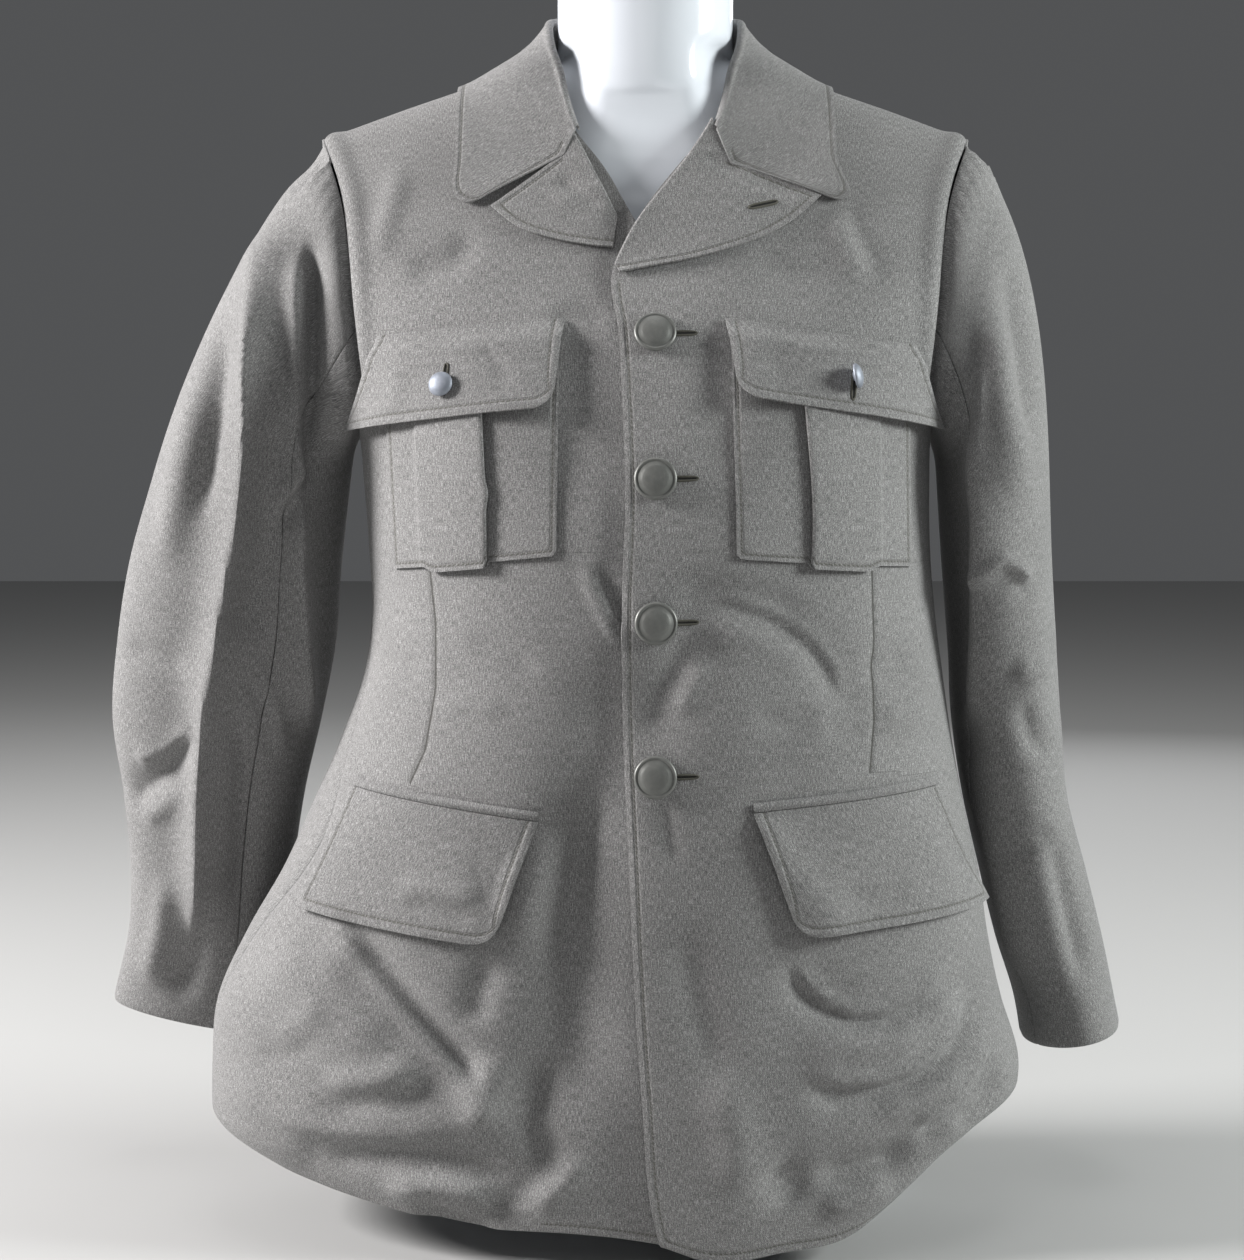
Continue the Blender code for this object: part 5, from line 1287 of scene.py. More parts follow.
# %% Corners of the pockets, flaps and welts
# Each row: top inner, top outer, low outer, low inner
POCKETS = {
    LEFT: ((0.050, 0.551), (0.1600, 0.541), (0.1605, 0.412), (0.0520, 0.419)),
    RIGHT: ((-0.052, 0.552), (-0.1600, 0.544), (-0.1520, 0.411), (-0.0530, 0.421)),
}
CHEST_FLAPS = {
    LEFT: ((0.047, 0.560), (0.164, 0.5465), (0.1745, 0.497), (0.0535, 0.512)),
    RIGHT: ((-0.049, 0.562), (-0.163, 0.552), (-0.1755, 0.496), (-0.0550, 0.506)),
}
HIP_FLAPS = {
    LEFT: ((0.062, 0.2705), (0.1765, 0.279), (0.2080, 0.2045), (0.0890, 0.196)),
    RIGHT: ((-0.064, 0.2650), (-0.178, 0.279), (-0.2090, 0.2045), (-0.0910, 0.191)),
}
WELT_TALL = 0.006
FLAP_RADIUS = 0.013
FLAP_STAND = 0.0020
PLEAT_TALL = 0.0018

# %% Four-cornered pieces
def quad(corners, across, down):
    """Front-view places in a four-cornered piece, by their shares across and down."""
    a, b, c, d = (np.array(corner, float) for corner in corners)
    across, down = across[..., None], down[..., None]
    top = a + (b - a) * across
    low = d + (c - d) * across
    return top + (low - top) * down


def patch_grid(corners, columns, rows, radius):
    """A grid of places in a four-cornered piece, with its lower inner corner rounded."""
    share = np.asarray(columns, float)
    down = np.asarray(rows, float)
    across, down = np.meshgrid(share, down)
    wide = np.linalg.norm(np.array(corners[1]) - np.array(corners[0]))
    tall = np.linalg.norm(np.array(corners[3]) - np.array(corners[0]))
    near = np.clip(1 - across * wide / radius, 0, 1)
    rise = radius * (1 - np.sqrt(1 - near**2)) / tall
    down = down * (1 - rise * down**3)
    return quad(corners, across, down), across, down

# %% The pleat, as millimetres from its open edge and heights in millimetres
PLEAT_EDGE = {LEFT: 0.403, RIGHT: 0.420}
PLEAT_BACK = {LEFT: 0.800, RIGHT: 0.810}
FOLD_PATH = (
    (-9.0, 0.0), (-5.0, 0.0), (-2.0, -0.1), (0.6, -0.1), (2.6, 0.0), (3.6, 0.4), (3.7, 0.9), (2.6, 1.3),
    (0.8, 1.5), (-0.6, 1.7), (-1.3, 2.3), (-1.2, 3.0), (-0.5, 3.5), (0.8, 3.7), (3.0, 3.6), (6.0, 3.3),
)
BACK_PATH = (
    (-5.0, 2.0), (-2.2, 1.9), (-0.8, 1.8), (0.1, 1.3), (0.8, 0.5), (1.8, 0.2), (4.0, 0.0), (7.0, 0.0),
)
POCKET_STITCH = 0.003
POCKET_CLOTH = 0.0011
WELT_CLOTH = 0.0008
PLEAT_HANG = 0.0038
PLEAT_GAIN = 1.2
PLEAT_BOW = 0.0011
PLEAT_KINK = 0.0016
PLEAT_NEAR = 0.010
POCKET_TALL = 0.135
SEWN_SINK = 0.0005
SEWN_WIDE = 0.0012


def pleat_path(side, wide):
    """Shares across the pocket and heights above it, out over the pleat and back down."""
    edge, back = PLEAT_EDGE[side], PLEAT_BACK[side]
    rows = [(share, 0.0) for share in np.linspace(0, edge - 0.011 / wide, 14)]
    rows += [(edge + off * 0.001 / wide, high * 0.001) for off, high in FOLD_PATH]
    start, end = rows[-1], (back + BACK_PATH[0][0] * 0.001 / wide, BACK_PATH[0][1] * 0.001)
    start, end = np.array(start), np.array(end)
    rows += [tuple(start + (end - start) * t) for t in np.linspace(0, 1, 14)[1:-1]]
    rows += [(back + off * 0.001 / wide, high * 0.001) for off, high in BACK_PATH]
    rows += [(share, 0.0) for share in np.linspace(back + 0.009 / wide, 1, 7)]
    return np.array(rows)


# %% The two pockets
def pleat_sway(side, down):
    """The open edge of the pleat isn't straight: it bows, and has one small kink."""
    bow = PLEAT_BOW * np.sin(down * 5.2 + 0.6)
    kink = PLEAT_KINK * hump(down - 0.70, 0.045)
    return bow - kink if side == RIGHT else -1.5 * bow


for side, word in ((LEFT, "left"), (RIGHT, "right")):
    corners = POCKETS[side]
    wide = math.dist(corners[0], corners[1])
    path = pleat_path(side, wide)
    places, across, down = patch_grid(corners, path[:, 0], np.linspace(0, 1, 90), 0.003)
    height = np.broadcast_to(path[:, 1], down.shape)
    near_pleat = hump((across - PLEAT_EDGE[side]) * wide, PLEAT_NEAR)
    places[..., 0] += side * pleat_sway(side, down) * near_pleat
    on_pleat = ease(PLEAT_EDGE[side] - 0.01, PLEAT_EDGE[side] + 0.01, across) * (1 - ease(0.72, 0.80, across))
    places[..., 1] -= PLEAT_HANG * on_pleat * ease(0.88, 1.0, down)
    bottom = 1 - 0.25 * ease(0.90, 1.0, down)
    sag = 0.0012 * np.sin(down * math.pi) * (1 - np.abs(2 * across - 1))
    sunk = -SEWN_SINK * (hump(across * wide, SEWN_WIDE) + hump((1 - across) * wide, SEWN_WIDE))
    out = POCKET_GAP + TRIM + PLEAT_GAIN * height * (0.45 + 0.55 * ease(0, 0.25, down)) * bottom + sag + sunk
    outer, outward = on_front(side, places[..., 0], places[..., 1], out)
    edge = np.minimum(np.minimum(across, 1 - across) * wide, (1 - down) * POCKET_TALL)
    edge = edge + STITCH_INSET - POCKET_STITCH
    called = "wool_pocket_" + word
    pocket = panel(called, outer, outward, POCKET_CLOTH, WOOL, marks={"edge": edge}, round_edges=False)
    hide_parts("pocket_" + word)

# %% [markdown]
# ## Flaps and welts
# Each flap is sewn on along its top edge and stitched 6 mm in from the others.
# It stands off the pocket below, and its outer corner has curled up with wear.
# The left hip flap is bent along a slanting line, so its inner strip turns down to the body.

# %% Creases of the flaps
FLAP_CREASES = (
    ("front", "break", 0.0060, 0.0130, ((0.056, 0.288), (0.072, 0.252), (0.087, 0.231), (0.100, 0.214),
        (0.118, 0.184))),
    ("front", "trough", -0.0016, 0.0080, ((0.110, 0.222), (0.135, 0.214), (0.160, 0.220))),
    ("front", "trough", -0.0014, 0.0060, ((0.178, 0.260), (0.186, 0.236), (0.196, 0.214))),
    ("front", "trough", -0.0018, 0.0050, ((-0.146, 0.216), (-0.122, 0.212), (-0.098, 0.206))),
    ("front", "ridge", 0.0020, 0.0060, ((-0.150, 0.226), (-0.122, 0.222), (-0.094, 0.218))),
    ("front", "trough", -0.0014, 0.0070, ((-0.086, 0.262), (-0.094, 0.236), (-0.092, 0.210))),
    ("front", "ridge", 0.0016, 0.0060, ((-0.070, 0.252), (-0.080, 0.228), (-0.083, 0.200))),
    ("front", "trough", -0.0012, 0.0060, ((-0.100, 0.548), (-0.086, 0.530), (-0.080, 0.512))),
    ("front", "ridge", 0.0012, 0.0070, ((-0.150, 0.540), (-0.146, 0.520), (-0.152, 0.500))),
    ("front", "step", 0.0014, 0.0040, ((0.096, 0.556), (0.124, 0.552), (0.158, 0.546))),
    ("front", "trough", -0.0012, 0.0080, ((0.070, 0.548), (0.078, 0.526), (0.074, 0.508))),
)


# %% Making a flap
FLAP_LIFT = 0.0014


def flap(name, side, corners, base, node, curl):
    wide = math.dist(corners[0], corners[1])
    tall = math.dist(corners[0], corners[3])
    across = np.concatenate([np.linspace(0, 0.10, 16), np.linspace(0.10, 1, 70)[1:]])
    down = np.concatenate([np.linspace(0, 0.92, 40), np.linspace(0.92, 1, 9)[1:]])
    places, across, down = patch_grid(corners, across, down, FLAP_RADIUS)
    out = LAY_GAP + TRIM + base * ease(0.0, 0.28, down) + (FLAP_STAND + FLAP_LIFT) * down**2
    out = out + crease_depth(FLAP_CREASES, "front", places[..., 0], places[..., 1]) * ease(0, 0.15, down)
    out = out + curl * across**3 * down**3 + 0.0006 * np.sin(across * 9.0 + side) * down
    border = np.minimum(np.minimum(across, 1 - across) * wide, (1 - down) * tall)
    out = np.maximum(out, LAY_GAP + TRIM) + 0.0004 * hump(border - 0.003, 0.002)
    outer, outward = on_front(side, places[..., 0], places[..., 1], out)
    piece = panel(name, outer, outward, TRIM, WOOL, stitched=("first_column", "last_column", "last_row"))
    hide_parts(node)
    return piece


# %% The four flaps
flaps = {}
for side, word in ((LEFT, "left"), (RIGHT, "right")):
    chest = POCKET_GAP + TRIM + PLEAT_TALL
    flaps[side, "chest"] = flap(
        "wool_flap_chest_" + word, side, CHEST_FLAPS[side], chest, "flap_chest_" + word, 0.0025)
    flaps[side, "hip"] = flap("wool_flap_hip_" + word, side, HIP_FLAPS[side], 0.0, "flap_hip_" + word, 0.0010)

# %% The welts above the hip flaps
for side, word in ((LEFT, "left"), (RIGHT, "right")):
    (ax, az), (bx, bz) = HIP_FLAPS[side][:2]
    strip = ((ax, az + WELT_TALL), (bx, bz + WELT_TALL), (bx, bz + SEAM_GAP), (ax, az + SEAM_GAP))
    places, across, down = patch_grid(strip, np.linspace(0, 1, 70), np.linspace(0, 1, 10), 0.0015)
    fullest = np.sin(math.pi * np.clip(across, 0.02, 0.98)) ** 0.2
    out = POCKET_GAP + 0.0008 + 0.0017 * np.sin(math.pi * down) * fullest
    outer, outward = on_front(side, places[..., 0], places[..., 1], out)
    welt = panel("wool_welt_" + word, outer, outward, WELT_CLOTH, WOOL, round_edges=False)
    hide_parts("welt_" + word)

# %% [markdown]
# ## Lapels and collar
# The lapels are the fronts turned back, and the collar folds over its own stand.
# So neither may end in a sharp line at the neck: both roll over in a soft curve.
# A lapel's grid starts under the front's edge and goes round it before it lies on the chest.

# %% The gorge, where the collar's end meets the lapel, and the lapel's own upper edge
# Each row: share, x, z
GORGE = {
    LEFT: ((0.0, 0.0407, 0.6851), (0.24, 0.0502, 0.6612), (0.52, 0.0759, 0.6507),
           (0.80, 0.1035, 0.6397), (1.0, 0.1180, 0.6338)),
    RIGHT: ((0.0, 0.0460, 0.6789), (0.26, 0.0515, 0.6631), (1.0, 0.1075, 0.6315)),
}
LAPEL_TOPS = {
    LEFT: ((0.0, 0.0405, 0.6846), (0.28, 0.0499, 0.6608), (0.62, 0.0757, 0.6503), (1.0, 0.1070, 0.6375)),
    RIGHT: ((0.0, 0.0459, 0.6785), (0.28, 0.0512, 0.6626), (1.0, 0.0945, 0.6308)),
}


def straight(table, share):
    """Front-view places along the straight legs of a table."""
    rows = np.array(table)
    return np.stack([np.interp(share, rows[:, 0], rows[:, 1]), np.interp(share, rows[:, 0], rows[:, 2])], -1)


# %% Tables of the lapels
# Each row: share, roll x, roll z, edge x, edge z
LAPEL_LEFT = (
    (0.00, -0.0185, 0.5925, -0.0160, 0.5880),
    (0.12, -0.0140, 0.6020, 0.0020, 0.5915),
    (0.35, -0.0040, 0.6200, 0.0320, 0.5975),
    (0.60, 0.0120, 0.6410, 0.0640, 0.6080),
    (0.82, 0.0290, 0.6610, 0.0870, 0.6200),
    (1.00, 0.0425, 0.6760, 0.1030, 0.6330),
)
LAPEL_RIGHT = (
    (0.00, -0.0175, 0.6240, -0.0200, 0.6050),
    (0.25, -0.0240, 0.6360, -0.0340, 0.6060),
    (0.50, -0.0310, 0.6490, -0.0540, 0.6095),
    (0.75, -0.0380, 0.6630, -0.0760, 0.6160),
    (1.00, -0.0435, 0.6725, -0.0930, 0.6270),
)

# %% The lapel's own places on the chest
LAPEL_STITCH = 0.004
ROLL_HIGH = 0.0033
ROLL_OUT = 0.0017


def lapel_places(side, table, share, across):
    roll = np.stack([smooth(table, 1, share), smooth(table, 2, share)], -1)
    edge = np.stack([smooth(table, 3, share), smooth(table, 4, share)], -1)
    places = roll[:, None] + (edge - roll)[:, None] * across[None, :, None]
    top = straight(LAPEL_TOPS[side], across) * (side, 1)
    return places + (top - places[-1])[None] * (share**5)[:, None, None]


def lapel_roll(outer, outward):
    """Columns that go round the front's edge, from under it up to the lapel's first column."""
    away = outer[:, 0] - outer[:, 2]
    away = unit(away - outward[:, 0] * np.sum(away * outward[:, 0], axis=-1, keepdims=True))
    centre = outer[:, 0] - outward[:, 0] * ROLL_HIGH
    turns = np.radians(np.linspace(-75, 76, 12))
    ring = [centre + outward[:, 0] * ROLL_HIGH * math.sin(a) + away * ROLL_OUT * math.cos(a) for a in turns]
    return np.stack(ring, axis=1)


# %% The two lapels
LAPEL_CREASES = (
    ("front", "trough", -0.0012, 0.0040, ((0.034, 0.664), (0.048, 0.654), (0.060, 0.650))),
    ("front", "trough", -0.0010, 0.0040, ((0.060, 0.652), (0.078, 0.642), (0.096, 0.638))),
    ("front", "ridge", 0.0012, 0.0070, ((-0.020, 0.640), (-0.044, 0.636), (-0.062, 0.630))),
    ("front", "trough", -0.0014, 0.0050, ((-0.024, 0.628), (-0.044, 0.640), (-0.056, 0.650))),
)
lapels = {}
for side, word, table in ((LEFT, "left", LAPEL_LEFT), (RIGHT, "right", LAPEL_RIGHT)):
    share = np.linspace(0, 1, 80)
    across = np.concatenate([np.linspace(0, 0.9, 50), np.linspace(0.9, 1, 10)[1:]])
    places = lapel_places(side, table, share, across)
    x, z = places[..., 0], places[..., 1]
    puff = 0.0022 * (1 - across[None, :]) ** 2 * ease(0, 0.3, share)[:, None] + 0.0012 * across[None, :] ** 2
    puff = puff + crease_depth(LAPEL_CREASES, "front", x, z)
    outer, outward = on_front(side, x, z, LAY_GAP + TRIM + puff)
    rolled = lapel_roll(outer, outward)
    count = rolled.shape[1]
    outer = np.concatenate([rolled, outer], axis=1)
    outward = np.concatenate([np.repeat(outward[:, :1], count, axis=1), outward], axis=1)
    lengths = edge_lengths(outer)
    top_edge = np.where(np.arange(outer.shape[1])[None, :] > count + 14, lengths["last_row"], EDGE_FAR)
    edge = np.minimum(lengths["last_column"], top_edge) + STITCH_INSET - LAPEL_STITCH
    seen = outer[..., [0, 2]]
    lapels[side] = panel("wool_lapel_" + word, outer, outward, TRIM, WOOL, marks={"edge": edge}, grain=seen)
    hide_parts("lapel_" + word)

# %% The collar's table
# Each row: share, roll x, roll y, roll z, edge x, edge z, seam x, seam z
COLLAR = (
    (0.00, 0.0440, -0.0535, 0.6790, 0.1040, 0.6365, 0.0440, 0.6790),
    (0.08, 0.0475, -0.0480, 0.6880, 0.1150, 0.6420, 0.0480, 0.6860),
    (0.18, 0.0520, -0.0390, 0.7020, 0.1168, 0.6580, 0.0540, 0.7000),
    (0.30, 0.0560, -0.0275, 0.7180, 0.1172, 0.6810, 0.0590, 0.7120),
    (0.42, 0.0620, -0.0140, 0.7350, 0.1172, 0.7000, 0.0625, 0.7220),
    (0.52, 0.0640, 0.0040, 0.7490, 0.1165, 0.7094, 0.0640, 0.7285),
    (0.64, 0.0600, 0.0270, 0.7550, 0.1100, 0.6990, 0.0560, 0.7305),
    (0.78, 0.0460, 0.0500, 0.7590, 0.0820, 0.6890, 0.0420, 0.7335),
    (0.90, 0.0220, 0.0630, 0.7610, 0.0400, 0.6840, 0.0200, 0.7355),
    (1.00, 0.0000, 0.0670, 0.7615, 0.0000, 0.6820, 0.0000, 0.7365),
)
COLLAR_RIDGE = 0.52
ROLL_RADIUS = 0.0029

# %% One line across the collar, from its outer edge over the roll to its foot
FALL_STEPS = 34
ROLL_TURNS = np.radians(np.linspace(20, 175, 14))
TIP_ROUND = 0.006
COLLAR_LONG = 0.25


def collar_line(side, share):
    amount = abs(share)
    roll = np.array([side * smooth(COLLAR, 1, amount), smooth(COLLAR, 2, amount), smooth(COLLAR, 3, amount)])
    edge = np.array([side * smooth(COLLAR, 4, amount), smooth(COLLAR, 5, amount)])
    seam = np.array([side * smooth(COLLAR, 6, amount), smooth(COLLAR, 7, amount)])
    near = np.clip(1 - amount * COLLAR_LONG / TIP_ROUND, 0, 1)
    cut = TIP_ROUND * (1 - math.sqrt(1 - near**2)) / np.linalg.norm(seam - edge)
    steps = cut + (1 - cut) * np.linspace(0, 1, FALL_STEPS)
    line = edge + (seam - edge) * steps[:, None]
    first_edge = np.array([side * COLLAR[0][4], COLLAR[0][5]])
    first_seam = np.array([side * COLLAR[0][6], COLLAR[0][7]])
    was = first_edge + (first_seam - first_edge) * steps[:, None]
    shift = straight(GORGE[side], 1 - steps) * (side, 1) - was
    line = line + shift * (1 - ease(0, 0.22, amount))
    z = np.minimum(line[:, 1], shoulder_z(line[:, 0]) - 1e-4)
    base = body_point("front" if amount < COLLAR_RIDGE else "back", line[:, 0], z)
    lift = LAY_GAP + TRIM + 0.0014 + 0.0008 * np.sin(steps * 7 + amount * 9)
    fall = base + body_normal(base) * lift[:, None]
    fall = fall + (roll - fall[-1]) * (steps**2.2)[:, None]
    away = unit(np.array([fall[-1][0], fall[-1][1] - 0.004, 0.0]))
    up = np.array([0, 0, 1.0])
    centre = roll - away * ROLL_RADIUS
    arc = [centre + ROLL_RADIUS * (away * math.cos(a) + up * math.sin(a)) for a in ROLL_TURNS]
    face = "front" if amount < COLLAR_RIDGE else "back"
    foot = body_point(face, seam[0], min(seam[1], shoulder_z(seam[0]) - 1e-4))
    foot = foot + np.array([0, 0, 0.0022 + TRIM]) - away * TRIM
    stand_top = centre - away * ROLL_RADIUS
    stand = [stand_top + (foot - stand_top) * t for t in np.linspace(0.12, 1, 10)]
    return np.array([*fall, *arc, *stand])


# %% The collar
COLLAR_STITCH = 0.0042
shares = np.concatenate([np.linspace(0, 0.06, 16), np.linspace(0.06, 1, 80)[1:]])
points = np.array([collar_line(RIGHT, s) for s in shares] + [collar_line(LEFT, s) for s in shares[-2::-1]])
outward = unit(np.cross(np.gradient(points, axis=0), np.gradient(points, axis=1)))
outward = outward * np.sign(np.sum(outward[:, :2] * body_normal(points[:, :2])))
lengths = edge_lengths(points)
on_fall = np.arange(points.shape[1])[None, :] < FALL_STEPS - 6
ends = np.where(on_fall, np.minimum(lengths["first_row"], lengths["last_row"]), EDGE_FAR)
edge = np.minimum(lengths["first_column"], ends) + STITCH_INSET - COLLAR_STITCH
grain = np.stack([lengths["first_row"], -lengths["first_column"]], -1)
collar = panel("wool_collar", points, outward, TRIM, WOOL, marks={"edge": edge}, grain=grain)
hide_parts("collar")

# %% [markdown]
# ## Buttons
# A uniform button is pressed from thin metal, with a rim, a shallow ring and a low dome.
# It is turned round one axis, so a circle is extruded and resized step by step along its profile.
# Each size is made once and copied, and its face is plain with a fine grain.

# %% Metals
def button_metal(name, base, worn, roughness, metallic, grain):
    metal = Finish(name, roughness, metallic=metallic)
    place = metal.node("ShaderNodeTexCoord", {}, {}, out=3)
    rim = metal.node("ShaderNodeAttribute", {"attribute_name": "rim"}, {}, out=2)
    cloud = metal.noise(place, 260.0, 3.0, 0.6)
    specks = metal.noise(place, 1900.0, 2.0, 0.6)
    wear = rim.rise(0.80, 0.97) * 0.10 + (cloud - 0.5) * 0.7
    metal.colour(metal.mix(wear.rise(-0.2, 0.8), (*base, 1), (*worn, 1)))
    metal.gloss(cloud * 0.16 + (roughness - 0.08))
    field = 1 - rim.rise(0.60, 0.70)
    metal.relief(specks * field + cloud * 0.5, grain, 0.0003)
    return metal.material


PAINTED = button_metal("button_painted_metal", (0.135, 0.138, 0.130), (0.235, 0.236, 0.222), 0.42, 0.35, 0.5)
BARE = button_metal("button_bare_metal", (0.240, 0.262, 0.305), (0.480, 0.510, 0.570), 0.56, 0.50, 0.35)

# %% Turning a button
FRONT_BUTTONS_Z = (0.552, 0.466, 0.382, 0.292)
FRONT_BUTTON_X = 0.005
FRONT_BUTTON_RADIUS = 0.0127
CHEST_BUTTON_RADIUS = 0.0076
CHEST_BUTTONS = {LEFT: (0.122, 0.5255), RIGHT: (-0.122, 0.5215)}
CHEST_TURN = {LEFT: 52, RIGHT: 6}
# Each row: radius, height
FRONT_PROFILE = (
    (0.30, 0.00), (0.30, 0.10), (0.90, 0.11), (0.97, 0.14), (1.00, 0.20), (0.985, 0.27), (0.93, 0.315),
    (0.885, 0.32), (0.850, 0.300), (0.830, 0.290), (0.800, 0.300), (0.70, 0.350), (0.56, 0.400),
    (0.40, 0.435), (0.22, 0.455), (0.06, 0.462),
)
CHEST_PROFILE = (
    (0.34, 0.00), (0.34, 0.16), (0.90, 0.18), (0.98, 0.24), (1.00, 0.32), (0.97, 0.40), (0.88, 0.50),
    (0.74, 0.60), (0.55, 0.68), (0.33, 0.735), (0.12, 0.750),
)


def turned(name, profile, radius, sides):
    """A circle, extruded and resized along a profile of shares of the radius and heights."""
    bpy.ops.object.select_all(action="DESELECT")
    bpy.ops.mesh.primitive_circle_add(vertices=sides, radius=profile[0][0] * radius, fill_type="NGON")
    piece = bpy.context.active_object
    piece.name = piece.data.name = name
    bpy.ops.object.mode_set(mode="EDIT")
    bpy.ops.mesh.select_all(action="SELECT")
    for (share, height), (wider, higher) in zip(profile, profile[1:]):
        bpy.ops.mesh.extrude_region_move(TRANSFORM_OT_translate={"value": (0, 0, (higher - height) * radius)})
        bpy.ops.transform.resize(value=(wider / share, wider / share, 1))
    bpy.ops.mesh.select_all(action="SELECT")
    bpy.ops.mesh.normals_make_consistent(inside=False)
    bpy.ops.object.mode_set(mode="OBJECT")
    bpy.ops.object.shade_smooth_by_angle(angle=math.radians(40))
    note(piece, "rim", [math.hypot(v.co.x, v.co.y) / radius for v in piece.data.vertices])
    return piece


# %% Finding the cloth that a button lies on
def surface_of(piece):
    return BVHTree.FromObject(piece, bpy.context.evaluated_depsgraph_get())


def spot_on(surface, x, z):
    """The place and direction of the cloth behind a front-view place."""
    place, direction, _, _ = surface.ray_cast(Vector((x, -1.0, z)), Vector((0.0, 1.0, 0.0)))
    return np.array(place), np.array(direction)


def seat(master, name, place, axis, material, node):
    """A copy of a turned piece with its own mesh, standing on a place along an axis."""
    piece = master.copy()
    piece.data = master.data.copy()
    piece.name = piece.data.name = name
    scene.collection.objects.link(piece)
    axis = unit(axis)
    across = unit(np.cross((0, 0, 1.0), axis))
    turn = Matrix((across, np.cross(axis, across), axis)).transposed().to_4x4()
    piece.data.transform(Matrix.Translation(Vector(place)) @ turn)
    piece.data.materials.clear()
    piece.data.materials.append(material)
    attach(piece, "root")
    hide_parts(node)
    return piece


# %% The four front buttons
BUTTON_SEAT = 0.0003
master = turned("button_master", FRONT_PROFILE, FRONT_BUTTON_RADIUS, 56)
cloth_behind = surface_of(fronts[LEFT])
for number, z in enumerate(FRONT_BUTTONS_Z, start=1):
    place, axis = spot_on(cloth_behind, FRONT_BUTTON_X, z)
    tilt = np.array((0.03 * math.sin(number * 2.1), 0, 0.05 * math.cos(number * 1.7)))
    seat(master, f"painted_button_{number}", place + axis * BUTTON_SEAT, axis + tilt, PAINTED,
         f"button_front_{number}")
bpy.data.objects.remove(master)

# %% The two chest buttons, one of them twisted on its thread
master = turned("button_master", CHEST_PROFILE, CHEST_BUTTON_RADIUS, 48)
for side, word in ((LEFT, "left"), (RIGHT, "right")):
    x, z = CHEST_BUTTONS[side]
    place, axis = spot_on(surface_of(flaps[side, "chest"]), x, z)
    turn = math.radians(CHEST_TURN[side])
    across = unit(np.cross((0, 0, 1.0), axis))
    leaning = axis * math.cos(turn) + across * math.sin(turn)
    lift = 0.0003 + CHEST_BUTTON_RADIUS * 0.60 * math.sin(turn)
    seat(master, "bare_button_" + word, place + axis * lift, leaning, BARE,
         "button_chest_" + word)
bpy.data.objects.remove(master)

# %% [markdown]
# ## Buttonholes
# A worked buttonhole is a slit with thread sewn close round it.
# The thread is a torus pulled out to the length of the slit and laid on the cloth.
# A narrow near-black strip in its middle stands for the slit: its colour is painted shade in the gap.

# %% Thread, and the painted shade of the slit
# A matte thread colour with a fine mottle; the same recipe, near-black, gives the painted shade of a
# buttonhole's slit.
def plain_thread_and_shade(name, colour, roughness):
    thread = Finish(name, roughness)
    place = thread.node("ShaderNodeTexCoord", {}, {}, out=3)
    cloud = thread.noise(place, 1400.0, 2.0, 0.6)
    thread.colour(thread.mix(cloud, (*colour, 1), (*(c * 1.8 for c in colour), 1)))
    thread.relief(cloud, 0.6, 0.0004)
    return thread.material


THREAD_WORK = plain_thread_and_shade("buttonhole_thread", (0.058, 0.056, 0.046), 0.9)
# The slit's near-black colour is painted shade, where the cut shows dark.
SLIT_SHADE = plain_thread_and_shade("buttonhole_slit", (0.008, 0.008, 0.007), 0.95)
HOLE_TURNS = 80
HOLE_SIDES = 8
HOLE_HALF_WIDE = 0.0012
THREAD_WIDE = 0.0007
THREAD_HIGH = 0.0005
SLIT_SHARE = 0.94
SLIT_HALF_WIDE = 0.0007
SLIT_LIFT = 0.00025


def finish_small(piece, material):
    select_only(piece)
    bpy.ops.object.shade_smooth()
    piece.data.materials.clear()
    piece.data.materials.append(material)
    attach(piece, "root")


def worked_hole(name, surface, start, end):
    """The sewn ring of a buttonhole between two front-view places, and a strip of painted shade for the slit
    in it.
    """
    start, end = np.array(start), np.array(end)
    middle, half = (start + end) / 2, math.dist(start, end) / 2
    along = (end - start) / (2 * half)
    beside = np.array((-along[1], along[0]))
    bpy.ops.object.select_all(action="DESELECT")
    bpy.ops.mesh.primitive_torus_add(major_segments=HOLE_TURNS, minor_segments=HOLE_SIDES)
    ring = bpy.context.active_object
    ring.name = ring.data.name = name + "_thread"
    places = []
    for a in np.arange(HOLE_TURNS) * TURN / HOLE_TURNS:
        reach = np.sign(math.cos(a)) * abs(math.cos(a)) ** 0.45
        wide = np.sign(math.sin(a)) * abs(math.sin(a)) ** 0.8
        spot = middle + along * reach * half + beside * wide * HOLE_HALF_WIDE
        place, axis = spot_on(surface, *spot)
        out = along * reach**3 + beside * wide
        out3 = unit(np.array((out[0], 0, out[1])))
        for b in np.arange(HOLE_SIDES) * TURN / HOLE_SIDES:
            sewn = 1 + 0.25 * math.sin(a * 40)
            up = axis * (THREAD_HIGH * (math.sin(b) + 0.5))
            places.append(place + up + out3 * THREAD_WIDE * sewn * math.cos(b))
    ring.data.vertices.foreach_set("co", np.array(places, dtype=np.float32).ravel())
    finish_small(ring, THREAD_WORK)
    # A strip laid on the cloth, coloured with painted shade where the slit opens.
    bpy.ops.object.select_all(action="DESELECT")
    bpy.ops.mesh.primitive_grid_add(x_subdivisions=24, y_subdivisions=1)
    strip = bpy.context.active_object
    strip.name = strip.data.name = name + "_slit"
    for vertex in strip.data.vertices:
        spot = middle + along * vertex.co.x * half * SLIT_SHARE + beside * vertex.co.y * SLIT_HALF_WIDE
        place, axis = spot_on(surface, *spot)
        vertex.co = place + axis * SLIT_LIFT
    finish_small(strip, SLIT_SHADE)
    return ring, strip


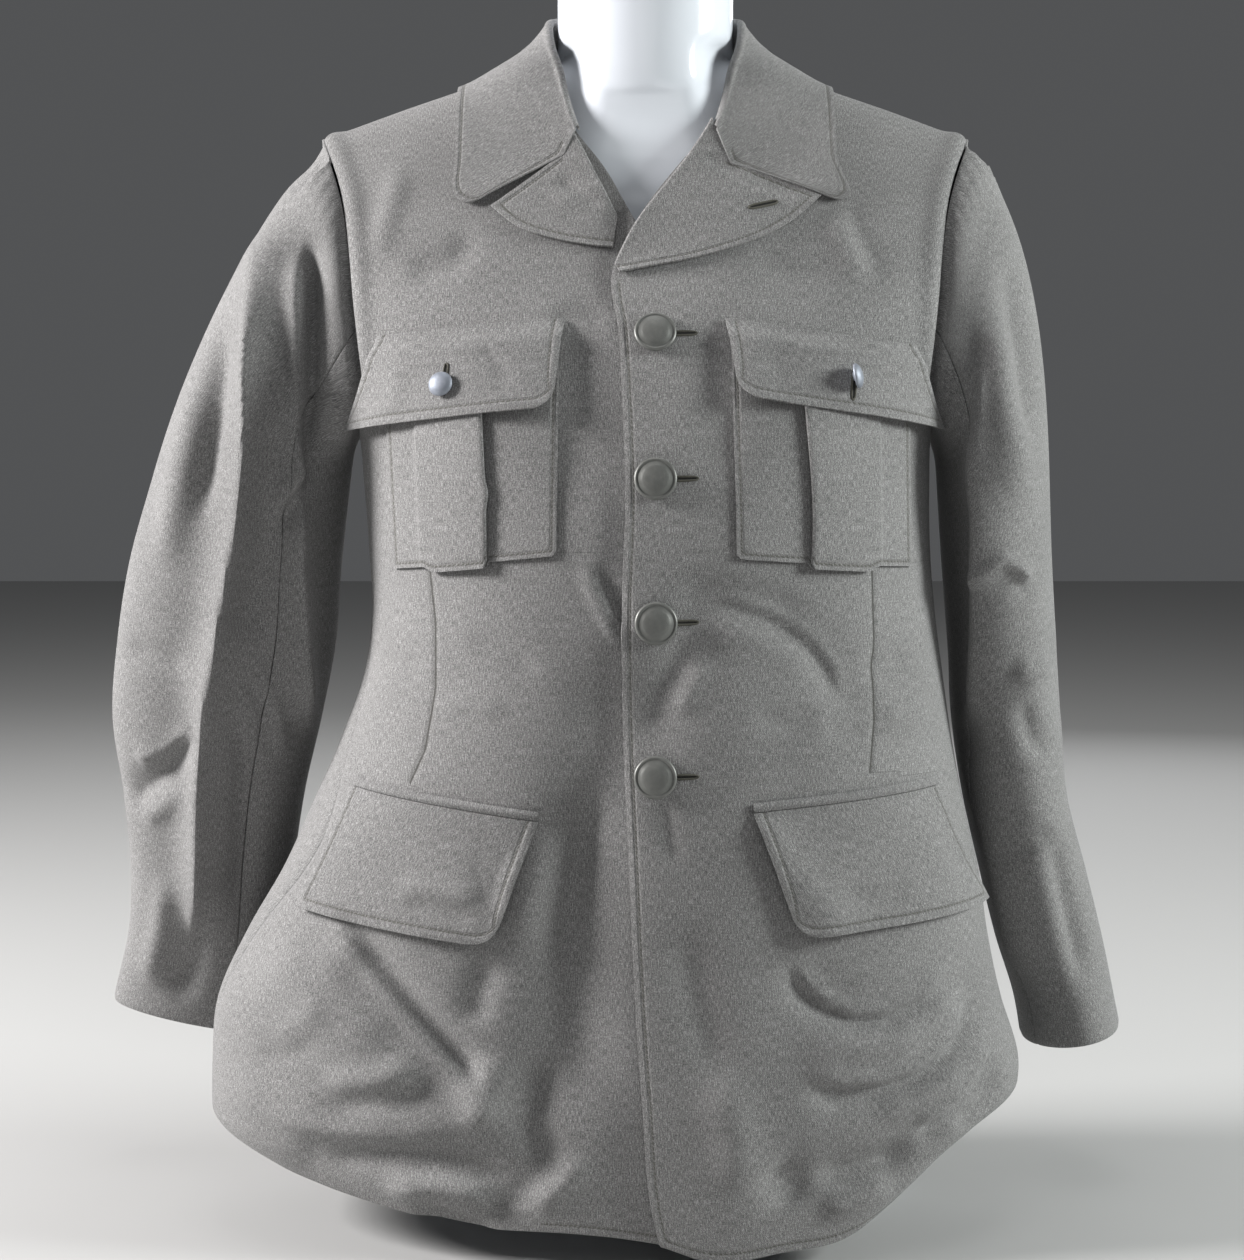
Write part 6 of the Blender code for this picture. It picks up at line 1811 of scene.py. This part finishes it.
# %% The holes of the front, the lapel and the flaps
holes = []
for number, z in enumerate(FRONT_BUTTONS_Z, start=1):
    holes += worked_hole(f"front_hole_{number}", cloth_behind, (0.003, z), (0.0300, z + 0.0006))
holes += worked_hole("lapel_hole", surface_of(lapels[LEFT]), (0.0625, 0.6300), (0.0800, 0.6340))
for side, word, low, high in ((LEFT, "left", -0.0125, 0.004), (RIGHT, "right", -0.004, 0.0130)):
    x, z = CHEST_BUTTONS[side]
    flap_surface = surface_of(flaps[side, "chest"])
    holes += worked_hole("flap_hole_" + word, flap_surface, (x + 0.001, z + low), (x + 0.0025, z + high))
print("buttonhole pieces", len(holes))

# %% [markdown]
# ## The dress form
# The jacket hangs on the shoulders of a smooth, limbless form of gloss plastic.
# Its rings come from a table of half widths and depths, read along a smooth curve.
# Under the cloth the form is held a few millimetres inside it, so nothing pokes through.

# %% The form's table
# Each row: side x, side z, front y, front z, back y, back z
FORM = (
    (0.1280, 0.0000, -0.084, 0.0000, 0.082, 0.0000),
    (0.1300, 0.0040, -0.086, 0.0040, 0.084, 0.0040),
    (0.1420, 0.0700, -0.096, 0.0700, 0.092, 0.0700),
    (0.1560, 0.1400, -0.104, 0.1400, 0.100, 0.1400),
    (0.1600, 0.1900, -0.108, 0.1900, 0.103, 0.1900),
    (0.1540, 0.2500, -0.108, 0.2500, 0.100, 0.2500),
    (0.1440, 0.3100, -0.106, 0.3100, 0.094, 0.3100),
    (0.1440, 0.3700, -0.110, 0.3700, 0.092, 0.3700),
    (0.1560, 0.4300, -0.118, 0.4300, 0.096, 0.4300),
    (0.1660, 0.4900, -0.118, 0.4900, 0.103, 0.4900),
    (0.1690, 0.5500, -0.096, 0.5400, 0.108, 0.5500),
    (0.1720, 0.6000, -0.075, 0.5850, 0.109, 0.6050),
    (0.1740, 0.6450, -0.060, 0.6200, 0.106, 0.6500),
    (0.1700, 0.6700, -0.053, 0.6450, 0.100, 0.6800),
    (0.1600, 0.6910, -0.048, 0.6620, 0.090, 0.6990),
    (0.1400, 0.6976, -0.0455, 0.6760, 0.078, 0.7050),
    (0.1175, 0.7060, -0.044, 0.6880, 0.066, 0.7110),
    (0.0900, 0.7144, -0.0435, 0.7000, 0.059, 0.7200),
    (0.0640, 0.7185, -0.044, 0.7080, 0.0540, 0.7290),
    (0.0560, 0.7310, -0.0445, 0.7240, 0.0525, 0.7480),
    (0.0555, 0.7560, -0.0450, 0.7500, 0.0520, 0.7660),
    (0.0555, 0.7850, -0.0455, 0.7800, 0.0520, 0.7880),
    (0.0545, 0.7985, -0.0440, 0.7985, 0.0510, 0.7985),
    (0.0520, 0.8000, -0.0415, 0.8000, 0.0485, 0.8000),
)
FORM_DROP = 0.0052
FORM_CLEAR = 0.0060
FORM_OPEN = (0.026, 0.050)

# %% Gloss plastic
def gloss_plastic():
    plastic = Finish("form_gloss_plastic", 0.14, coat_weight=0.5, coat_roughness=0.05)
    place = plastic.node("ShaderNodeTexCoord", {}, {}, out=3)
    cloud = plastic.noise(place, 7.0, 2.0, 0.5)
    plastic.colour(plastic.mix(cloud, (0.74, 0.78, 0.84, 1), (0.80, 0.835, 0.885, 1)))
    plastic.gloss(cloud * 0.05 + 0.11)
    plastic.relief(plastic.noise(place, 26.0, 2.0, 0.5), 0.10, 0.002)
    return plastic.material


PLASTIC = gloss_plastic()

# %% The form's rings
FORM_ROWS = 170
FORM_ROUND = 112
FORM_MIDDLE = 0.004


def form_ring(row, angles):
    numbered = [(number, *values) for number, values in enumerate(FORM)]
    read = (smooth(numbered, column, row) for column in range(1, 7))
    side_x, side_z, ahead, ahead_z, behind, behind_z = read
    mid = FORM_MIDDLE * ease(0.42, 0.48, side_z)
    sine, cosine = np.sin(angles), np.cos(angles)
    squareness = 2.0 + 0.3 * ease(0.058, 0.072, side_x)
    x = side_x * np.sign(sine) * np.abs(sine) ** (2 / squareness)
    y = mid + np.where(cosine >= 0, ahead - mid, behind - mid) * np.abs(cosine) ** (2 / squareness)
    end_z = np.where(cosine >= 0, ahead_z, behind_z)
    z = np.clip(end_z + (side_z - end_z) * np.abs(sine) ** 3, 0, FORM[-1][1])
    under = z + FORM_DROP
    inside = ease(PIT_Z, PIT_Z + 0.03, side_z) * (1 - ease(0.726, 0.744, side_z))
    ahead_most = np.maximum(y, np.minimum(front_y(x, under) + FORM_CLEAR, mid))
    behind_most = np.minimum(y, np.maximum(back_y(x, under) - FORM_CLEAR, mid))
    held = np.where(cosine >= 0, y + (ahead_most - y) * ease(*FORM_OPEN, np.abs(x)), behind_most)
    return np.stack([x, y + (held - y) * inside, z], -1)


# %% The form, closed at its seam, foot and top
bpy.ops.object.select_all(action="DESELECT")
bpy.ops.mesh.primitive_grid_add(x_subdivisions=FORM_ROUND, y_subdivisions=FORM_ROWS - 1, size=1)
form = bpy.context.active_object
form.name = form.data.name = "plastic_form"
angles = np.linspace(0, TURN, FORM_ROUND + 1)
rings = np.array([form_ring(row, angles) for row in np.linspace(0, len(FORM) - 1, FORM_ROWS)])
form.data.vertices.foreach_set("co", rings.astype(np.float32).ravel())
bpy.ops.object.mode_set(mode="EDIT")
bpy.ops.mesh.select_all(action="SELECT")
bpy.ops.mesh.remove_doubles(threshold=1e-6)
bpy.ops.mesh.fill_holes(sides=0)
bpy.ops.mesh.select_all(action="SELECT")
bpy.ops.mesh.normals_make_consistent(inside=False)
bpy.ops.object.mode_set(mode="OBJECT")
bpy.ops.object.shade_smooth_by_angle(angle=math.radians(50))
form.data.materials.clear()
form.data.materials.append(PLASTIC)
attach(form, "root")
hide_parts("form")
print("form has", len(form.data.polygons), "faces")

# %% [markdown]
# ## The flat cuts of the cloth
# A piece of clothing keeps the area that it was cut to.
# Each wall of cloth is listed with its flat width, length and area, and its area as it hangs is printed
# beside them.

SHEETS = (
    ("wool_front_left", 0.310, 0.740, 0.180, "hung", ("form",)),
    ("wool_front_right", 0.335, 0.740, 0.191, "hung", ("form",)),
    ("wool_back", 0.560, 0.720, 0.380, "hung", ("form",)),
    ("wool_sleeve_left_upper", 0.220, 0.600, 0.105, "hung", ("front_left", "back")),
    ("wool_sleeve_left_under", 0.160, 0.475, 0.070, "hung", ("front_left", "back")),
    ("wool_sleeve_right_upper", 0.250, 0.600, 0.134, "hung", ("front_right", "back")),
    ("wool_sleeve_right_under", 0.140, 0.480, 0.059, "hung", ("front_right", "back")),
    ("wool_pocket_left", 0.148, 0.140, 0.0194, "laid", ("front_left",)),
    ("wool_pocket_right", 0.142, 0.140, 0.0186, "laid", ("front_right",)),
    ("wool_flap_chest_left", 0.118, 0.072, 0.0075, "laid", ("pocket_left",)),
    ("wool_flap_chest_right", 0.124, 0.076, 0.0085, "laid", ("pocket_right",)),
    ("wool_flap_hip_left", 0.150, 0.088, 0.0115, "laid", ("front_left",)),
    ("wool_flap_hip_right", 0.136, 0.088, 0.0108, "laid", ("front_right",)),
    ("wool_welt_left", 0.116, 0.010, 0.0009, "folded", ("front_left",)),
    ("wool_welt_right", 0.116, 0.010, 0.0009, "folded", ("front_right",)),
    ("wool_lapel_left", 0.130, 0.086, 0.0067, "folded", ("front_left",)),
    ("wool_lapel_right", 0.090, 0.070, 0.0037, "folded", ("front_right",)),
    ("wool_collar", 0.460, 0.115, 0.0450, "folded", ("back", "front_left", "front_right")),
)
for name, wide, long, area, held, under in SHEETS:
    piece = bpy.data.objects[name]
    shown = sum(face.area for face in piece.data.polygons) / 2
    print(f"{name}: cut {wide * 1000:.0f} x {long * 1000:.0f} mm, {area:.4f} m2; as it hangs {shown:.4f} m2")

# %% [markdown]
# ## Stage, light and camera
# The jacket stands on a plain pale floor in soft studio light, brightest from the left.
# The camera is a long lens at chest height, tipped down by a few degrees.

# %% The floor
bpy.ops.object.select_all(action="DESELECT")
bpy.ops.mesh.primitive_plane_add(size=14)
floor = bpy.context.active_object
floor.name = "pale_floor"
pale = Finish("pale_floor", 0.85)
pale.colour((0.44, 0.44, 0.435, 1))
floor.data.materials.append(pale.material)


# %% The lights
# Each row: name, place, aim, size, watts, colour
LIGHTS = (
    ("key", (-2.4, -0.30, 1.45), (0.0, 0.0, 0.40), 0.8, 146.0, (1.0, 0.98, 0.975)),
    ("right side", (2.3, -0.42, 1.2), (0.0, 0.0, 0.40), 0.9, 72.0, (0.965, 1.0, 0.98)),
    ("front", (0.1, -2.6, 1.5), (0.0, 0.0, 0.40), 1.4, 3.5, (0.96, 0.98, 1.0)),
    ("top", (0.1, -0.2, 2.4), (0.0, 0.0, 0.50), 1.2, 8.0, (1.0, 1.0, 1.0)),
    ("behind", (0.6, 2.2, 1.3), (0.0, 0.0, 0.40), 1.8, 12.0, (0.97, 0.98, 1.0)),
)
for name, place, aim, size, watts, colour in LIGHTS:
    bpy.ops.object.light_add(type="AREA", location=place)
    lamp = bpy.context.active_object
    lamp.name = name
    lamp.data.shape = "DISK"
    lamp.data.size, lamp.data.energy, lamp.data.color = size, watts, colour
    lamp.rotation_euler = (Vector(aim) - Vector(place)).to_track_quat("-Z", "Y").to_euler()

# %% The room's own light
world = bpy.data.worlds.new("studio")
world.use_nodes = True
world.node_tree.nodes["Background"].inputs["Color"].default_value = (0.90, 0.92, 0.95, 1)
world.node_tree.nodes["Background"].inputs["Strength"].default_value = 0.095
scene.world = world
scene.view_settings.view_transform = "Standard"

# %% The camera
PHOTO_TALL = 1260
FOCAL_PIXELS = 2653
TIPPED_PIXELS = 200
SENSOR = 36
CAMERA_PLACE = (-0.0147, -1.70, 0.495)
bpy.ops.object.camera_add(location=CAMERA_PLACE)
camera = bpy.context.active_object
camera.rotation_euler = (math.pi / 2 - math.atan(TIPPED_PIXELS / FOCAL_PIXELS), 0, 0)
camera.data.sensor_width = SENSOR
camera.data.lens = FOCAL_PIXELS / PHOTO_TALL * SENSOR
scene.camera = camera
